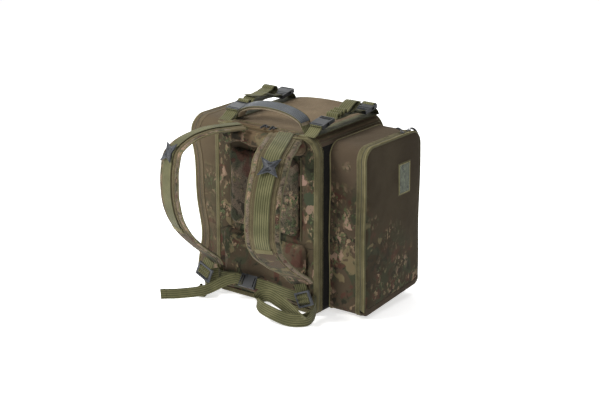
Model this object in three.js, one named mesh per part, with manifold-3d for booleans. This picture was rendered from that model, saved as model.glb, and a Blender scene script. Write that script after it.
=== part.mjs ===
// Tackle backpack: a boxy fishing rucksack. Millimetres, +Z up, origin at the middle of the main compartment's
// base. The harness side faces -Y, and the two side pockets stand at +X and -X.
import * as THREE from "three";
import { mergeVertices } from "three/addons/utils/BufferGeometryUtils.js";
import Module from "manifold-3d";

const wasm = await Module();
wasm.setup();

// ---------------------------------------------------------------- driving dimensions
const GAP = 0.3; // between pieces that touch
const BODY = { width: 350, depth: 310, height: 500, wall: 5, topRadius: 50, baseRadius: 20 };
const DOOR = { thickness: 10, lift: 3 }; // the zipped rear panel that carries the harness
const ZIP_TAPE = 11.7; // depth of the rear zip's fixed tape
const SHEET = { inset: 14, thickness: 2 }; // the plastic stiffener behind the rear panel
const SIDE_POCKET = { reach: 120, halfWidth: 130, centreY: 27, z0: 6, z1: 478, topRadius: 38, baseRadius: 16 };
const FRONT_POCKET = { reach: 52, halfWidth: 125, z0: 24, z1: 360, topRadius: 35, baseRadius: 16 };
const POCKET = { wall: 4, coverDepth: 16, face: 6, hem: 12, hemGap: 1.5 };
const LABEL = { width: 52, height: 84, thickness: 1.6, y: 74, z: 360 };
const ZIP = { slider: 10, rise: 4, pullLength: 18, pull: 2, head: 0.7, apart: 12 };
const WEBBING = { shoulder: 42, top: 38, lower: 38, waist: 30, thickness: 1.8, rise: 1.6 };
const STRAP_PAD = { width: 95, thickness: 14, narrowing: 0.15 };
const SPLAY = 0.32; // how much the straps' faces turn outwards, as a slope
const ROLL = 0.22; // how much their outer edges hang lower over the shoulder, as a slope
const TOP_STRAP = { x: 143, buckle: 44, height: 12 };
const CUSHION_BEVEL = 8;
const HANDLE = { halfSpan: 112, y: -121, base: 13, rise: 43, width: 35, thickness: 11, lean: 0.23 };

const REAR = -BODY.depth / 2;
const FRONT_FACE = BODY.depth / 2;
const SIDE_FACE = BODY.width / 2;
const DOOR_INNER = REAR + DOOR.thickness;
const TAPE_REAR = DOOR_INNER + GAP;
const PANEL_REAR = TAPE_REAR + ZIP_TAPE;
const FRONT_INNER = FRONT_FACE - BODY.wall;

// ---------------------------------------------------------------- materials
const paint = (color, roughness, metalness = 0) =>
  new THREE.MeshStandardMaterial({ color, roughness, metalness });
const FABRIC = paint(0x5b4e3d, 0.9); // plain brown polyester
const CAMO = paint(0x564b3c, 0.9); // printed camouflage polyester
const MESH_PAD = paint(0x4c4638, 0.95); // printed spacer mesh
const OLIVE = paint(0x6c6a42, 0.85); // olive webbing
const BINDING = paint(0x5a5334, 0.85); // zip tape and binding
const PLASTIC = paint(0x26262a, 0.45); // moulded buckles
const RIBBED = paint(0x3f464c, 0.6); // ribbed handle cover
const METAL = paint(0x3a3a3c, 0.4, 0.8); // zip sliders
const STIFFENER = paint(0x202020, 0.5); // plastic sheet
const PATCH = paint(0x4d5540, 0.6); // woven patch

// ---------------------------------------------------------------- shape helpers
const part = new THREE.Group();

function add(name, geometry, material, parent = part) {
  const mesh = new THREE.Mesh(geometry, material);
  mesh.name = name;
  parent.add(mesh);
  return mesh;
}

// A closed geometry as a manifold-3d solid, and back.
function solid(geometry) {
  const bare = geometry.clone();
  bare.deleteAttribute("normal");
  bare.deleteAttribute("uv");
  const merged = mergeVertices(bare, 1e-3);
  const vertProperties = merged.attributes.position.array;
  const triVerts = new Uint32Array(merged.index.array);
  return new wasm.Manifold(new wasm.Mesh({ numProp: 3, vertProperties, triVerts }));
}

function geometryOf(manifold) {
  const made = manifold.getMesh();
  const geometry = new THREE.BufferGeometry();
  geometry.setAttribute("position", new THREE.BufferAttribute(new Float32Array(made.vertProperties), 3));
  geometry.setIndex(new THREE.BufferAttribute(new Uint32Array(made.triVerts), 1));
  return geometry;
}

const union = (...geometries) => geometryOf(geometries.map(solid).reduce((a, b) => a.add(b)));
const cut = (first, ...tools) => geometryOf(tools.map(solid).reduce((a, b) => a.subtract(b), solid(first)));
const common = (a, b) => geometryOf(solid(a).intersect(solid(b)));

function box(x0, x1, y0, y1, z0, z1) {
  const geometry = new THREE.BoxGeometry(x1 - x0, y1 - y0, z1 - z0);
  return geometry.translate((x0 + x1) / 2, (y0 + y1) / 2, (z0 + z1) / 2);
}

const shapeOf = (points) => new THREE.Shape(points.map(([u, v]) => new THREE.Vector2(u, v)));
const pathOf = (points) => new THREE.Path(points.map(([u, v]) => new THREE.Vector2(u, v)));

// A prism along Y whose outline is drawn in X and Z.
function slab(shape, from, to, bevel = 0) {
  const geometry = new THREE.ExtrudeGeometry(shape, {
    depth: to - from - 2 * bevel,
    bevelEnabled: bevel > 0,
    bevelThickness: bevel,
    bevelSize: bevel,
    bevelOffset: -bevel,
    bevelSegments: 2,
  });
  return geometry.rotateX(Math.PI / 2).translate(0, to - bevel, 0);
}

// A rectangle with round corners as points: lower right, upper right, upper left, lower left.
const ARC_STEPS = 6;
function roundedOutline({ halfWidth, z0, z1, topRadius, baseRadius }, inset = 0) {
  const top = topRadius - inset;
  const base = baseRadius - inset;
  const half = halfWidth - inset;
  const corners = [
    [half - base, z0 + inset + base, base, -90],
    [half - top, z1 - inset - top, top, 0],
    [top - half, z1 - inset - top, top, 90],
    [base - half, z0 + inset + base, base, 180],
  ];
  return corners.flatMap(([cx, cz, radius, start]) =>
    Array.from({ length: ARC_STEPS + 1 }, (_, i) => {
      const angle = THREE.MathUtils.degToRad(start + (90 * i) / ARC_STEPS);
      return [cx + radius * Math.cos(angle), cz + radius * Math.sin(angle)];
    }),
  );
}

// A closed wall all round an outline.
function ringShape(outline, wall) {
  const shape = shapeOf(roundedOutline(outline));
  shape.holes.push(pathOf(roundedOutline(outline, wall)));
  return shape;
}

// One stretch of that wall, from one outline point to another, cut square with half a gap at each end.
function wallShape(outline, wall, first, last) {
  const stretch = (points) => {
    const run = Array.from({ length: last - first + 1 }, (_, i) => [...points[(first + i) % points.length]]);
    for (const [end, next] of [[0, 1], [run.length - 1, run.length - 2]]) {
      const [a, b] = [run[end], run[next]];
      const share = GAP / Math.hypot(b[0] - a[0], b[1] - a[1]);
      run[end] = [a[0] + (b[0] - a[0]) * share, a[1] + (b[1] - a[1]) * share];
    }
    return run;
  };
  const outer = stretch(roundedOutline(outline));
  const inner = stretch(roundedOutline(outline, wall));
  return shapeOf([...outer, ...inner.reverse()]);
}

const curveThrough = (points) => {
  const vectors = points.map(([x, y, z]) => new THREE.Vector3(x, y, z));
  return new THREE.CatmullRomCurve3(vectors, false, "centripetal");
};

// A flat band of webbing or padding along a route. Its width lies along "across", which may turn on the way,
// and "lift" moves it off the route along its own face.
function band({ route, across, width, thickness, steps, lift = 0, from = 0, to = 1, narrowing = 0 }) {
  const curve = curveThrough(route);
  const acrossCurve = curveThrough(across);
  const positions = [];
  for (let i = 0; i <= steps; i++) {
    const t = from + ((to - from) * i) / steps;
    const centre = curve.getPointAt(t);
    const along = curve.getTangentAt(t);
    const side = acrossCurve.getPoint(t);
    side.addScaledVector(along, -side.dot(along)).normalize();
    const face = new THREE.Vector3().crossVectors(along, side).normalize();
    const half = (width / 2) * (1 - narrowing * Math.max(0, 4 * t - 3));
    for (const [s, f] of [[-1, -1], [1, -1], [1, 1], [-1, 1]]) {
      const corner = centre.clone().addScaledVector(side, s * half);
      corner.addScaledVector(face, lift + (f * thickness) / 2);
      positions.push(corner.x, corner.y, corner.z);
    }
  }
  const index = [0, 1, 2, 0, 2, 3];
  for (let i = 0; i < steps; i++) {
    for (let k = 0; k < 4; k++) {
      const a = i * 4 + k;
      const b = i * 4 + ((k + 1) % 4);
      index.push(a, a + 4, b, b, a + 4, b + 4);
    }
  }
  const end = steps * 4;
  index.push(end, end + 2, end + 1, end, end + 3, end + 2);
  const geometry = new THREE.BufferGeometry();
  geometry.setAttribute("position", new THREE.Float32BufferAttribute(positions, 3));
  return facingOut(geometry.setIndex(index));
}

// Turns every face round where a route's direction has left them pointing in.
function facingOut(geometry) {
  const position = geometry.getAttribute("position");
  const [a, b, c] = [new THREE.Vector3(), new THREE.Vector3(), new THREE.Vector3()];
  const index = geometry.index.array;
  let volume = 0;
  for (let i = 0; i < index.length; i += 3) {
    a.fromBufferAttribute(position, index[i]);
    b.fromBufferAttribute(position, index[i + 1]);
    c.fromBufferAttribute(position, index[i + 2]);
    volume += a.dot(b.cross(c));
  }
  if (volume < 0) {
    for (let i = 0; i < index.length; i += 3) [index[i + 1], index[i + 2]] = [index[i + 2], index[i + 1]];
  }
  return geometry;
}

const mirrored = (points, sign) => points.map(([x, y, z]) => [sign * x, y, z]);
const SIDES = { right: 1, left: -1 };

// ---------------------------------------------------------------- main compartment
const bodyOutline = {
  halfWidth: SIDE_FACE,
  z0: 0,
  z1: BODY.height,
  topRadius: BODY.topRadius,
  baseRadius: BODY.baseRadius,
};
const HALF_ARC = ARC_STEPS / 2;
const CORNER = ARC_STEPS + 1; // points in each corner
const bodyWalls = [
  ["right_side_panel", HALF_ARC, PANEL_REAR, CAMO],
  ["top_panel", CORNER + HALF_ARC, PANEL_REAR, FABRIC],
  ["left_side_panel", 2 * CORNER + HALF_ARC, PANEL_REAR, CAMO],
  ["base_panel", 3 * CORNER + HALF_ARC, DOOR_INNER, FABRIC],
];
for (const [name, first, rear, material] of bodyWalls) {
  const shape = wallShape(bodyOutline, BODY.wall, first, first + CORNER);
  add(name, slab(shape, rear + GAP, FRONT_INNER), material);
}
add("front_panel", slab(shapeOf(roundedOutline(bodyOutline)), FRONT_INNER + GAP, FRONT_FACE), CAMO);
const rimShape = wallShape(bodyOutline, BODY.wall, HALF_ARC, 3 * CORNER + HALF_ARC);
add("rear_zip_tape", slab(rimShape, TAPE_REAR, PANEL_REAR), BINDING);

// ---------------------------------------------------------------- rear door and its padding
const doorShape = shapeOf(roundedOutline({ ...bodyOutline, z0: DOOR.lift }));
add("back_panel", slab(doorShape, REAR, DOOR_INNER), CAMO);
const sheetShape = shapeOf(roundedOutline(bodyOutline, SHEET.inset));
add("frame_sheet", slab(sheetShape, DOOR_INNER + GAP, DOOR_INNER + GAP + SHEET.thickness), STIFFENER);

function cushion(name, { halfWidth, z0, z1, thickness, radius, material }) {
  const shape = shapeOf(roundedOutline({ halfWidth, z0, z1, topRadius: radius, baseRadius: radius }));
  add(name, slab(shape, REAR - GAP - thickness, REAR - GAP, CUSHION_BEVEL), material);
}
cushion("centre_mesh_pad", { halfWidth: 120, z0: 208, z1: 438, thickness: 24, radius: 24, material: MESH_PAD });
cushion("lumbar_pad", { halfWidth: 148, z0: 14, z1: 204, thickness: 22, radius: 22, material: CAMO });
cushion("shoulder_yoke", { halfWidth: 140, z0: 448, z1: 495, thickness: 24, radius: 20, material: CAMO });

// ---------------------------------------------------------------- zips
// A slider stands on a tape that faces up. Its pull lies flat, towards -Y where "turn" is 0. The pull's
// head ends just past its hinge, so that it turns clear of the slider.
function zip(name, position, turn = 0) {
  const group = new THREE.Group();
  group.position.set(...position);
  group.rotation.z = turn;
  part.add(group);
  const half = ZIP.slider / 2;
  add(`${name}_slider`, box(-half, half, -half, half, 2 * GAP, ZIP.rise), METAL, group);
  const outline = new THREE.Shape();
  outline.moveTo(4, ZIP.head);
  outline.lineTo(-4, ZIP.head);
  outline.absarc(0, -ZIP.pullLength, 3, Math.PI, 2 * Math.PI, false);
  const pull = new THREE.ExtrudeGeometry(outline, { depth: ZIP.pull, bevelEnabled: false, curveSegments: 6 });
  add(`${name}_pull`, pull.translate(0, 0, ZIP.rise + GAP), METAL, group);
}

const REAR_ZIP_X = 10; // where the two rear sliders meet
zip("rear_zip_right", [REAR_ZIP_X + ZIP.apart, DOOR_INNER, BODY.height]);
zip("rear_zip_left", [REAR_ZIP_X - ZIP.apart, DOOR_INNER, BODY.height]);

// ---------------------------------------------------------------- pockets
// Drawn standing on the body's front face, with the zipped cover towards +Y. The cover folds down on a hem.
function pocket(name, outline, { x = 0, y = 0, turn = 0 }) {
  const group = new THREE.Group();
  group.position.set(x, y, 0);
  group.rotation.z = turn;
  part.add(group);
  const { reach, halfWidth, z0, z1 } = outline;
  const coverRear = reach - POCKET.coverDepth;
  const overlap = 5; // how far the tray reaches back before it is cut to its two pieces
  const hemTop = z0 + POCKET.hem;
  const above = box(-halfWidth - 1, halfWidth + 1, coverRear, reach + 1, hemTop + POCKET.hemGap, z1 + 1);
  const below = box(-halfWidth - 1, halfWidth + 1, coverRear - overlap, reach + 1, z0 - 1, hemTop);
  const gusset = slab(ringShape(outline, POCKET.wall), GAP, coverRear - GAP);
  const tray = cut(
    slab(shapeOf(roundedOutline(outline)), coverRear - overlap, reach),
    slab(shapeOf(roundedOutline(outline, POCKET.wall)), coverRear - overlap - 1, reach - POCKET.face),
  );
  add(`${name}_gusset`, union(gusset, common(tray, below)), CAMO, group);
  add(`${name}_cover`, common(tray, above), CAMO, group);
}

const zipLine = (face, { reach }) => face + reach - POCKET.coverDepth - GAP / 2;
// One side slider runs along the top. The other stands where the top meets the far corner's bend.
const SIDE_ZIP_BEND = SIDE_POCKET.centreY + SIDE_POCKET.halfWidth - SIDE_POCKET.topRadius;
for (const [side, sign] of Object.entries(SIDES)) {
  const turn = (-sign * Math.PI) / 2;
  pocket(`${side}_pocket`, SIDE_POCKET, { x: sign * SIDE_FACE, y: SIDE_POCKET.centreY, turn });
  const x = sign * zipLine(SIDE_FACE, SIDE_POCKET);
  zip(`${side}_pocket_zip_top`, [x, SIDE_ZIP_BEND - 2.5 * ZIP.apart, SIDE_POCKET.z1], turn);
  zip(`${side}_pocket_zip_far`, [x, SIDE_ZIP_BEND, SIDE_POCKET.z1], Math.PI);
}
pocket("front_pocket", FRONT_POCKET, { y: FRONT_FACE });
zip("front_pocket_zip", [60, zipLine(FRONT_FACE, FRONT_POCKET), FRONT_POCKET.z1]);

const labelX = SIDE_FACE + SIDE_POCKET.reach + GAP;
add(
  "label_patch",
  box(
    labelX,
    labelX + LABEL.thickness,
    LABEL.y - LABEL.width / 2,
    LABEL.y + LABEL.width / 2,
    LABEL.z - LABEL.height / 2,
    LABEL.z + LABEL.height / 2,
  ),
  PATCH,
);

// ---------------------------------------------------------------- grab handle
const handleArch = [];
for (let i = 0; i <= 8; i++) {
  const angle = (Math.PI * i) / 8;
  const z = BODY.height + HANDLE.base + HANDLE.rise * Math.sin(angle) ** 0.9;
  handleArch.push([-HANDLE.halfSpan * Math.cos(angle), HANDLE.y, z]);
}
const handleBand = { route: handleArch, across: [[0, 1, HANDLE.lean], [0, 1, HANDLE.lean]], steps: 24 };
const padLift = -HANDLE.thickness / 2;
const handlePad = { ...handleBand, width: HANDLE.width, thickness: HANDLE.thickness, lift: padLift };
add("grab_handle", band(handlePad), CAMO);
add(
  "handle_grip",
  band({ ...handleBand, width: HANDLE.width, thickness: 2, lift: 1 + GAP, from: 0.12, to: 0.88 }),
  RIBBED,
);

// ---------------------------------------------------------------- buckles
// A side-release buckle lies flat with its webbing along local Y. The socket is at -Y and the plug at +Y.
const SOCKET = { length: 32, wall: 2.4 };
const PLUG = { body: 22, prong: 15, clearance: 0.6 };
function buckle(socketName, plugName, width, height, group) {
  part.add(group);
  const half = width / 2;
  const shell = box(-half, half, -SOCKET.length, 0, 0, height);
  const { wall } = SOCKET;
  const mouth = box(-half + wall, half - wall, -PLUG.prong - 3, 1, wall, height - wall);
  const windows = [-1, 1].map((s) => box(s * half - 4, s * half + 4, -PLUG.prong - 1, -5, wall, height - wall));
  const bars = box(-half + 4, half - 4, -SOCKET.length + 3.5, -SOCKET.length + 7, -1, height + 1);
  add(socketName, cut(shell, mouth, ...windows, bars), PLASTIC, group);
  const prongX = half - wall - PLUG.clearance - 3.5;
  const low = wall + PLUG.clearance;
  const high = height - low;
  const frame = box(-half, half, GAP, PLUG.body, 1, height - 1);
  const slots = [8, 15].map((y) => box(-half + 4, half - 4, y, y + 4, 0, height));
  const prongs = [-1, 1].map((s) => box(s * prongX - 3.5, s * prongX + 3.5, -PLUG.prong, GAP + 1, low, high));
  const tongue = box(-3, 3, -PLUG.prong, GAP + 1, low, high);
  add(plugName, cut(union(frame, ...prongs, tongue), ...slots), PLASTIC, group);
}

// ---------------------------------------------------------------- top straps
// Each strap is sewn down at both ends of the top, and its slack is rolled up between its two buckles.
const ROLLS = [[-38, 532], [-18, 535]];
const ROLL_RADIUS = 6.5;
const TAB = 2.2; // thickness of a sewn webbing tab
for (const [side, sign] of Object.entries(SIDES)) {
  const x = sign * TOP_STRAP.x;
  const half = WEBBING.top / 2;
  const base = box(x - half, x + half, REAR + 12, FRONT_FACE - 6, BODY.height + GAP, BODY.height + GAP + TAB);
  const across = [[1, 0, 0], [1, 0, 0]];
  const tabBand = { across, width: WEBBING.top, thickness: TAB, steps: 4 };
  const rearTab = band({ ...tabBand, route: [[x, -142, 501.5], [x, -131, 510], [x, -120.5, 517]] });
  const frontTab = band({ ...tabBand, route: [[x, 146, 501.2], [x, 143, 512], [x, 136, 519]] });
  add(`${side}_top_strap_base`, union(base, rearTab, frontTab), OLIVE);

  const nearGroup = new THREE.Group();
  nearGroup.position.set(x, -86, 521);
  nearGroup.rotation.x = THREE.MathUtils.degToRad(12);
  buckle(`${side}_rear_socket`, `${side}_rear_plug`, TOP_STRAP.buckle, TOP_STRAP.height, nearGroup);
  const farGroup = new THREE.Group();
  farGroup.position.set(x, 103, 517);
  farGroup.rotation.set(THREE.MathUtils.degToRad(-10), 0, Math.PI, "ZYX");
  buckle(`${side}_front_socket`, `${side}_front_plug`, TOP_STRAP.buckle, TOP_STRAP.height, farGroup);

  const rolls = ROLLS.map(([y, z]) => {
    const roll = new THREE.CylinderGeometry(ROLL_RADIUS, ROLL_RADIUS, WEBBING.top, 12);
    return roll.rotateZ(Math.PI / 2).translate(x, y, z);
  });
  const runs = band({
    route: [[x, -38, 528], [x, -10, 530], [x, 30, 529], [x, 57, 525]],
    across,
    width: WEBBING.top,
    thickness: 6,
    steps: 8,
  });
  const flap = band({
    route: [[x, -14, 536], [x, 8, 543], [x, 34, 553], [x, 56, 556], [x, 68, 549]],
    across,
    width: WEBBING.top,
    thickness: 4,
    steps: 10,
  });
  add(`${side}_top_webbing`, union(runs, flap, ...rolls), OLIVE);
}

// ---------------------------------------------------------------- shoulder straps
// The route runs on the pad's outer face, from the yoke over the shoulder and down to the base.
const STRAP_ROUTE = [
  [95, -196, 502], [125, -255, 500], [148, -314, 484], [163, -350, 454], [163, -366, 416], [161, -373, 375],
  [158, -374, 325], [151, -364, 270], [143, -332, 214], [144, -275, 162], [153, -222, 122], [158, -206, 104],
];
const STAR = { radius: 38, waist: 15, thickness: 5, at: 0.28 };
const STRAP_STEPS = 36; // stations along the route
const ROOT_STEP = 2; // where the strap leaves the yoke's own fabric
const SEAM_STEP = 24; // where the webbing ends on the pad
const LADDER = { width: 50, height: 42, thickness: 6, bar: 4.5, tilt: 24 };

function starShape() {
  const points = [];
  for (let i = 0; i < 8; i++) {
    const radius = i % 2 ? STAR.waist : STAR.radius;
    const angle = (Math.PI * i) / 4 + Math.PI / 4;
    points.push([radius * Math.cos(angle), radius * Math.sin(angle)]);
  }
  return shapeOf(points);
}

function ladderLock() {
  const { width, height, thickness, bar } = LADDER;
  const plate = box(-width / 2, width / 2, -thickness, 0, -height, 0);
  const opening = (height - 4 * bar) / 3;
  const windows = [0, 1, 2].map((i) => {
    const high = -bar - i * (opening + bar);
    return box(-width / 2 + 5, width / 2 - 5, -thickness - 1, 1, high - opening, high);
  });
  return cut(plate, ...windows);
}

// The lower webbing lies in slack loops between its ladder lock and the corner where it is sewn.
const LOWER_LOOPS = {
  right: {
    route: [
      [178, -219, 30], [186, -228, 25], [190, -236, 22], [176, -243, 26], [150, -246, 44], [116, -250, 62],
      [84, -253, 72], [64, -259, 66], [58, -269, 54], [74, -277, 45], [112, -274, 33], [156, -261, 21],
      [182, -246, 20], [195, -228, 20], [194, -204, 22], [188, -182, 34], [178, -166, 44], [166, -158, 46],
    ],
    across: [[1, 0, 0.2], [0.5, 0, 1], [0, 0.1, 1], [0, 0, 1], [0, 0, 1], [0, 0, 1], [0, 0, 1], [0, 0, 1]],
    steps: 44,
  },
  left: {
    route: [
      [-176, -220, 29], [-182, -232, 26], [-170, -244, 24], [-154, -238, 22], [-162, -220, 21],
      [-184, -198, 22], [-186, -178, 40], [-174, -163, 46], [-166, -158.5, 46],
    ],
    across: [[1, 0, 0.2], [0.5, 0, 1], [0, 0, 1], [0, 0, 1], [0, 0, 1]],
    steps: 24,
  },
};

for (const [side, sign] of Object.entries(SIDES)) {
  const strap = {
    route: mirrored(STRAP_ROUTE, sign),
    across: [
      [1, sign * SPLAY * 0.6, -sign * ROLL * 0.4],
      [1, sign * SPLAY, -sign * ROLL],
      [1, sign * SPLAY, 0],
      [1, sign * SPLAY * 0.5, 0],
    ],
    from: ROOT_STEP / STRAP_STEPS,
  };
  const padLift = -STRAP_PAD.thickness / 2;
  const { width, thickness, narrowing } = STRAP_PAD;
  const padding = { width, thickness, lift: padLift, narrowing };
  add(`${side}_strap_pad`, band({ ...strap, ...padding, steps: STRAP_STEPS - ROOT_STEP }), CAMO);
  const lift = WEBBING.thickness / 2 + WEBBING.rise;
  const webbing = { width: WEBBING.shoulder, thickness: WEBBING.thickness, lift, to: SEAM_STEP / STRAP_STEPS };
  add(`${side}_strap_webbing`, band({ ...strap, ...webbing, steps: SEAM_STEP - ROOT_STEP }), OLIVE);

  const curve = curveThrough(strap.route);
  const centre = curve.getPointAt(STAR.at);
  const down = curve.getTangentAt(STAR.at);
  const wide = new THREE.Vector3(1, sign * SPLAY, -sign * ROLL);
  wide.addScaledVector(down, -wide.dot(down)).normalize();
  const face = new THREE.Vector3().crossVectors(down, wide).normalize();
  const up = new THREE.Vector3().crossVectors(face, wide);
  const plate = new THREE.ExtrudeGeometry(starShape(), { depth: STAR.thickness, bevelEnabled: false });
  const star = add(`${side}_star_adjuster`, plate, PLASTIC);
  star.quaternion.setFromRotationMatrix(new THREE.Matrix4().makeBasis(wide, up, face));
  star.position.copy(centre).addScaledVector(face, WEBBING.thickness + 2.5);

  const lock = add(`${side}_ladder_lock`, ladderLock(), PLASTIC);
  lock.position.set(sign * 165, -211, 88);
  lock.rotation.y = THREE.MathUtils.degToRad(-LADDER.tilt * sign);

  const loop = LOWER_LOOPS[side];
  const loopBand = band({ ...loop, width: WEBBING.lower, thickness: WEBBING.thickness });
  const tab = slab(shapeOf([[sign * 172, 78], [sign * 146, 24], [sign * 172, 16]]), REAR - GAP - 3, REAR - GAP);
  add(`${side}_lower_webbing`, union(loopBand, tab), OLIVE);
}

// ---------------------------------------------------------------- waist belt
// The buckle lies in front of the base, leaning back, with its plug to the left.
const WAIST = { x: -33, y: -195, z: 66, lean: 55, buckle: 36, height: 10, slack: 26 };
const leanBack = THREE.MathUtils.degToRad(WAIST.lean);
const waistNormal = new THREE.Vector3(0, -Math.sin(leanBack), Math.cos(leanBack));
const waistAlong = new THREE.Vector3(-1, 0, 0);
const waistGroup = new THREE.Group();
waistGroup.position.set(WAIST.x, WAIST.y, WAIST.z);
waistGroup.quaternion.setFromRotationMatrix(
  new THREE.Matrix4().makeBasis(waistAlong.clone().cross(waistNormal), waistAlong, waistNormal),
);
buckle("waist_socket", "waist_plug", WAIST.buckle, WAIST.height, waistGroup);

const WAIST_LEFT_START = WAIST.x - PLUG.body - WAIST.slack;
const upright = [[0, 0.3, 1], [0, 0, 1], [0, 0, 1]];
const waistBand = { across: upright, width: WEBBING.waist, thickness: WEBBING.thickness };
const beltLeft = band({
  ...waistBand,
  route: [[WAIST_LEFT_START, -199, 70], [-105, -192, 62], [-142, -185, 58], [-152, -174, 58], [-152, -160, 58]],
  steps: 10,
});
const beltTail = band({
  ...waistBand,
  route: [
    [WAIST_LEFT_START, -199.5, 70], [-98, -210, 60], [-140, -250, 34], [-190, -292, 25], [-238, -326, 22],
  ],
  steps: 16,
});
add("waist_webbing_left", union(beltLeft, beltTail), OLIVE);
const beltRight = band({
  ...waistBand,
  route: [
    [WAIST.x + SOCKET.length + 1, -199, 70], [30, -192, 66], [142, -185, 58], [152, -174, 58], [152, -160, 58],
  ],
  steps: 12,
});
add("waist_webbing_right", beltRight, OLIVE);

export default part;
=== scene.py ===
"""Tackle backpack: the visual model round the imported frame. Shapes are written in millimetres, +Z up."""
import math
import random

import bpy
import numpy as np
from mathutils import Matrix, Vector


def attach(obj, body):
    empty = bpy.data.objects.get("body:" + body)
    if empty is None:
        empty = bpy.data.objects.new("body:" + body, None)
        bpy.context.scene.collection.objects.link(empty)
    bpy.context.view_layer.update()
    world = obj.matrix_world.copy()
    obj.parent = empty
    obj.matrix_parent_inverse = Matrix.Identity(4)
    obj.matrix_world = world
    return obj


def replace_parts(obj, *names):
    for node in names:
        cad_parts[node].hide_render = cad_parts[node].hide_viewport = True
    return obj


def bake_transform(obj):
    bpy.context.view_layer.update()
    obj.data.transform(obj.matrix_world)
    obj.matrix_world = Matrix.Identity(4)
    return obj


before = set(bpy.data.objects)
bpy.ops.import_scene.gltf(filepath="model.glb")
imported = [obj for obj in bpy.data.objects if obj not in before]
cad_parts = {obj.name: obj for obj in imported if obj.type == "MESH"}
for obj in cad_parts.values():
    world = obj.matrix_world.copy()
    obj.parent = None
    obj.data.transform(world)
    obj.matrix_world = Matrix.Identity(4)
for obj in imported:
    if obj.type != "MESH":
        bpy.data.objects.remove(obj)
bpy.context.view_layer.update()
MM = 0.001
SIDES = {"right": 1, "left": -1}

# ---------------------------------------------------------------- sizes shared with the CAD
HALF_WIDTH, REAR, FRONT, HEIGHT = 175.0, -155.0, 155.0, 500.0
TOP_RADIUS, BASE_RADIUS = 50.0, 20.0
DOOR_INNER = -145.0
PANEL_REAR = -133.0
SIDE_POCKET = dict(half=130.0, z0=6.0, z1=478.0, top=38.0, base=16.0, reach=120.0)
FRONT_POCKET = dict(half=125.0, z0=24.0, z1=360.0, top=35.0, base=16.0, reach=52.0)
POCKET_Y = 27.0
COVER_DEPTH = 16.0
STRAP_ROUTE = [
    (95, -196, 502), (125, -255, 500), (148, -314, 484), (163, -350, 454), (163, -366, 416), (161, -373, 375),
    (158, -374, 325), (151, -364, 270), (143, -332, 214), (144, -275, 162), (153, -222, 122), (158, -206, 104),
]
SPLAY, ROLL = 0.32, 0.22
STAR_AT = {"right": 0.28, "left": 0.31}
SEAM_AT = 24 / 36
LOCK_TILT = 24.0
ROOT_AT = 2 / 36
ROOT_REACH = 45.0  # how far a strap's root runs back into the yoke
ROOT_OVERLAP = 4.0  # and on into the padding
ROOT_TUCK = 0.985  # its size beside the padding that hides its end
LOCK_X, LOCK_Y, LOCK_TOP = 165, -211, 88  # a ladder lock's top edge, at rest
STRAIGHT_FROM = 60  # gaps in an outline longer than this are straights
LINING_SHARES = (0.06, 0.2, 0.34, 0.48, 0.62, 0.76, 0.9)
LOWER_LOOPS = {
    "right": [
        (178, -219, 30), (186, -228, 25), (190, -236, 22), (176, -243, 26), (150, -246, 44), (116, -250, 62),
        (84, -253, 72), (64, -259, 66), (58, -269, 54), (74, -277, 45), (112, -274, 33), (156, -261, 21),
        (182, -246, 20), (195, -228, 20), (194, -204, 22), (188, -182, 34), (178, -166, 44), (166, -158, 46),
    ],
    "left": [
        (-176, -220, 29), (-182, -232, 26), (-170, -244, 24), (-154, -238, 22), (-162, -220, 21),
        (-184, -198, 22), (-186, -178, 40), (-174, -163, 46), (-166, -158.5, 46),
    ],
}
LOWER_ACROSS = {
    "right": [(1, 0, 0.2), (0.5, 0, 1), (0, 0.1, 1), (0, 0, 1), (0, 0, 1), (0, 0, 1), (0, 0, 1), (0, 0, 1)],
    "left": [(1, 0, 0.2), (0.5, 0, 1), (0, 0, 1), (0, 0, 1), (0, 0, 1)],
}


# ---------------------------------------------------------------- materials
def rgb(code):
    """A colour written as six hex digits, in linear light."""
    parts = [int(code[i : i + 2], 16) / 255 for i in (0, 2, 4)]
    return tuple(c / 12.92 if c <= 0.04045 else ((c + 0.055) / 1.055) ** 2.4 for c in parts) + (1.0,)


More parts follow.
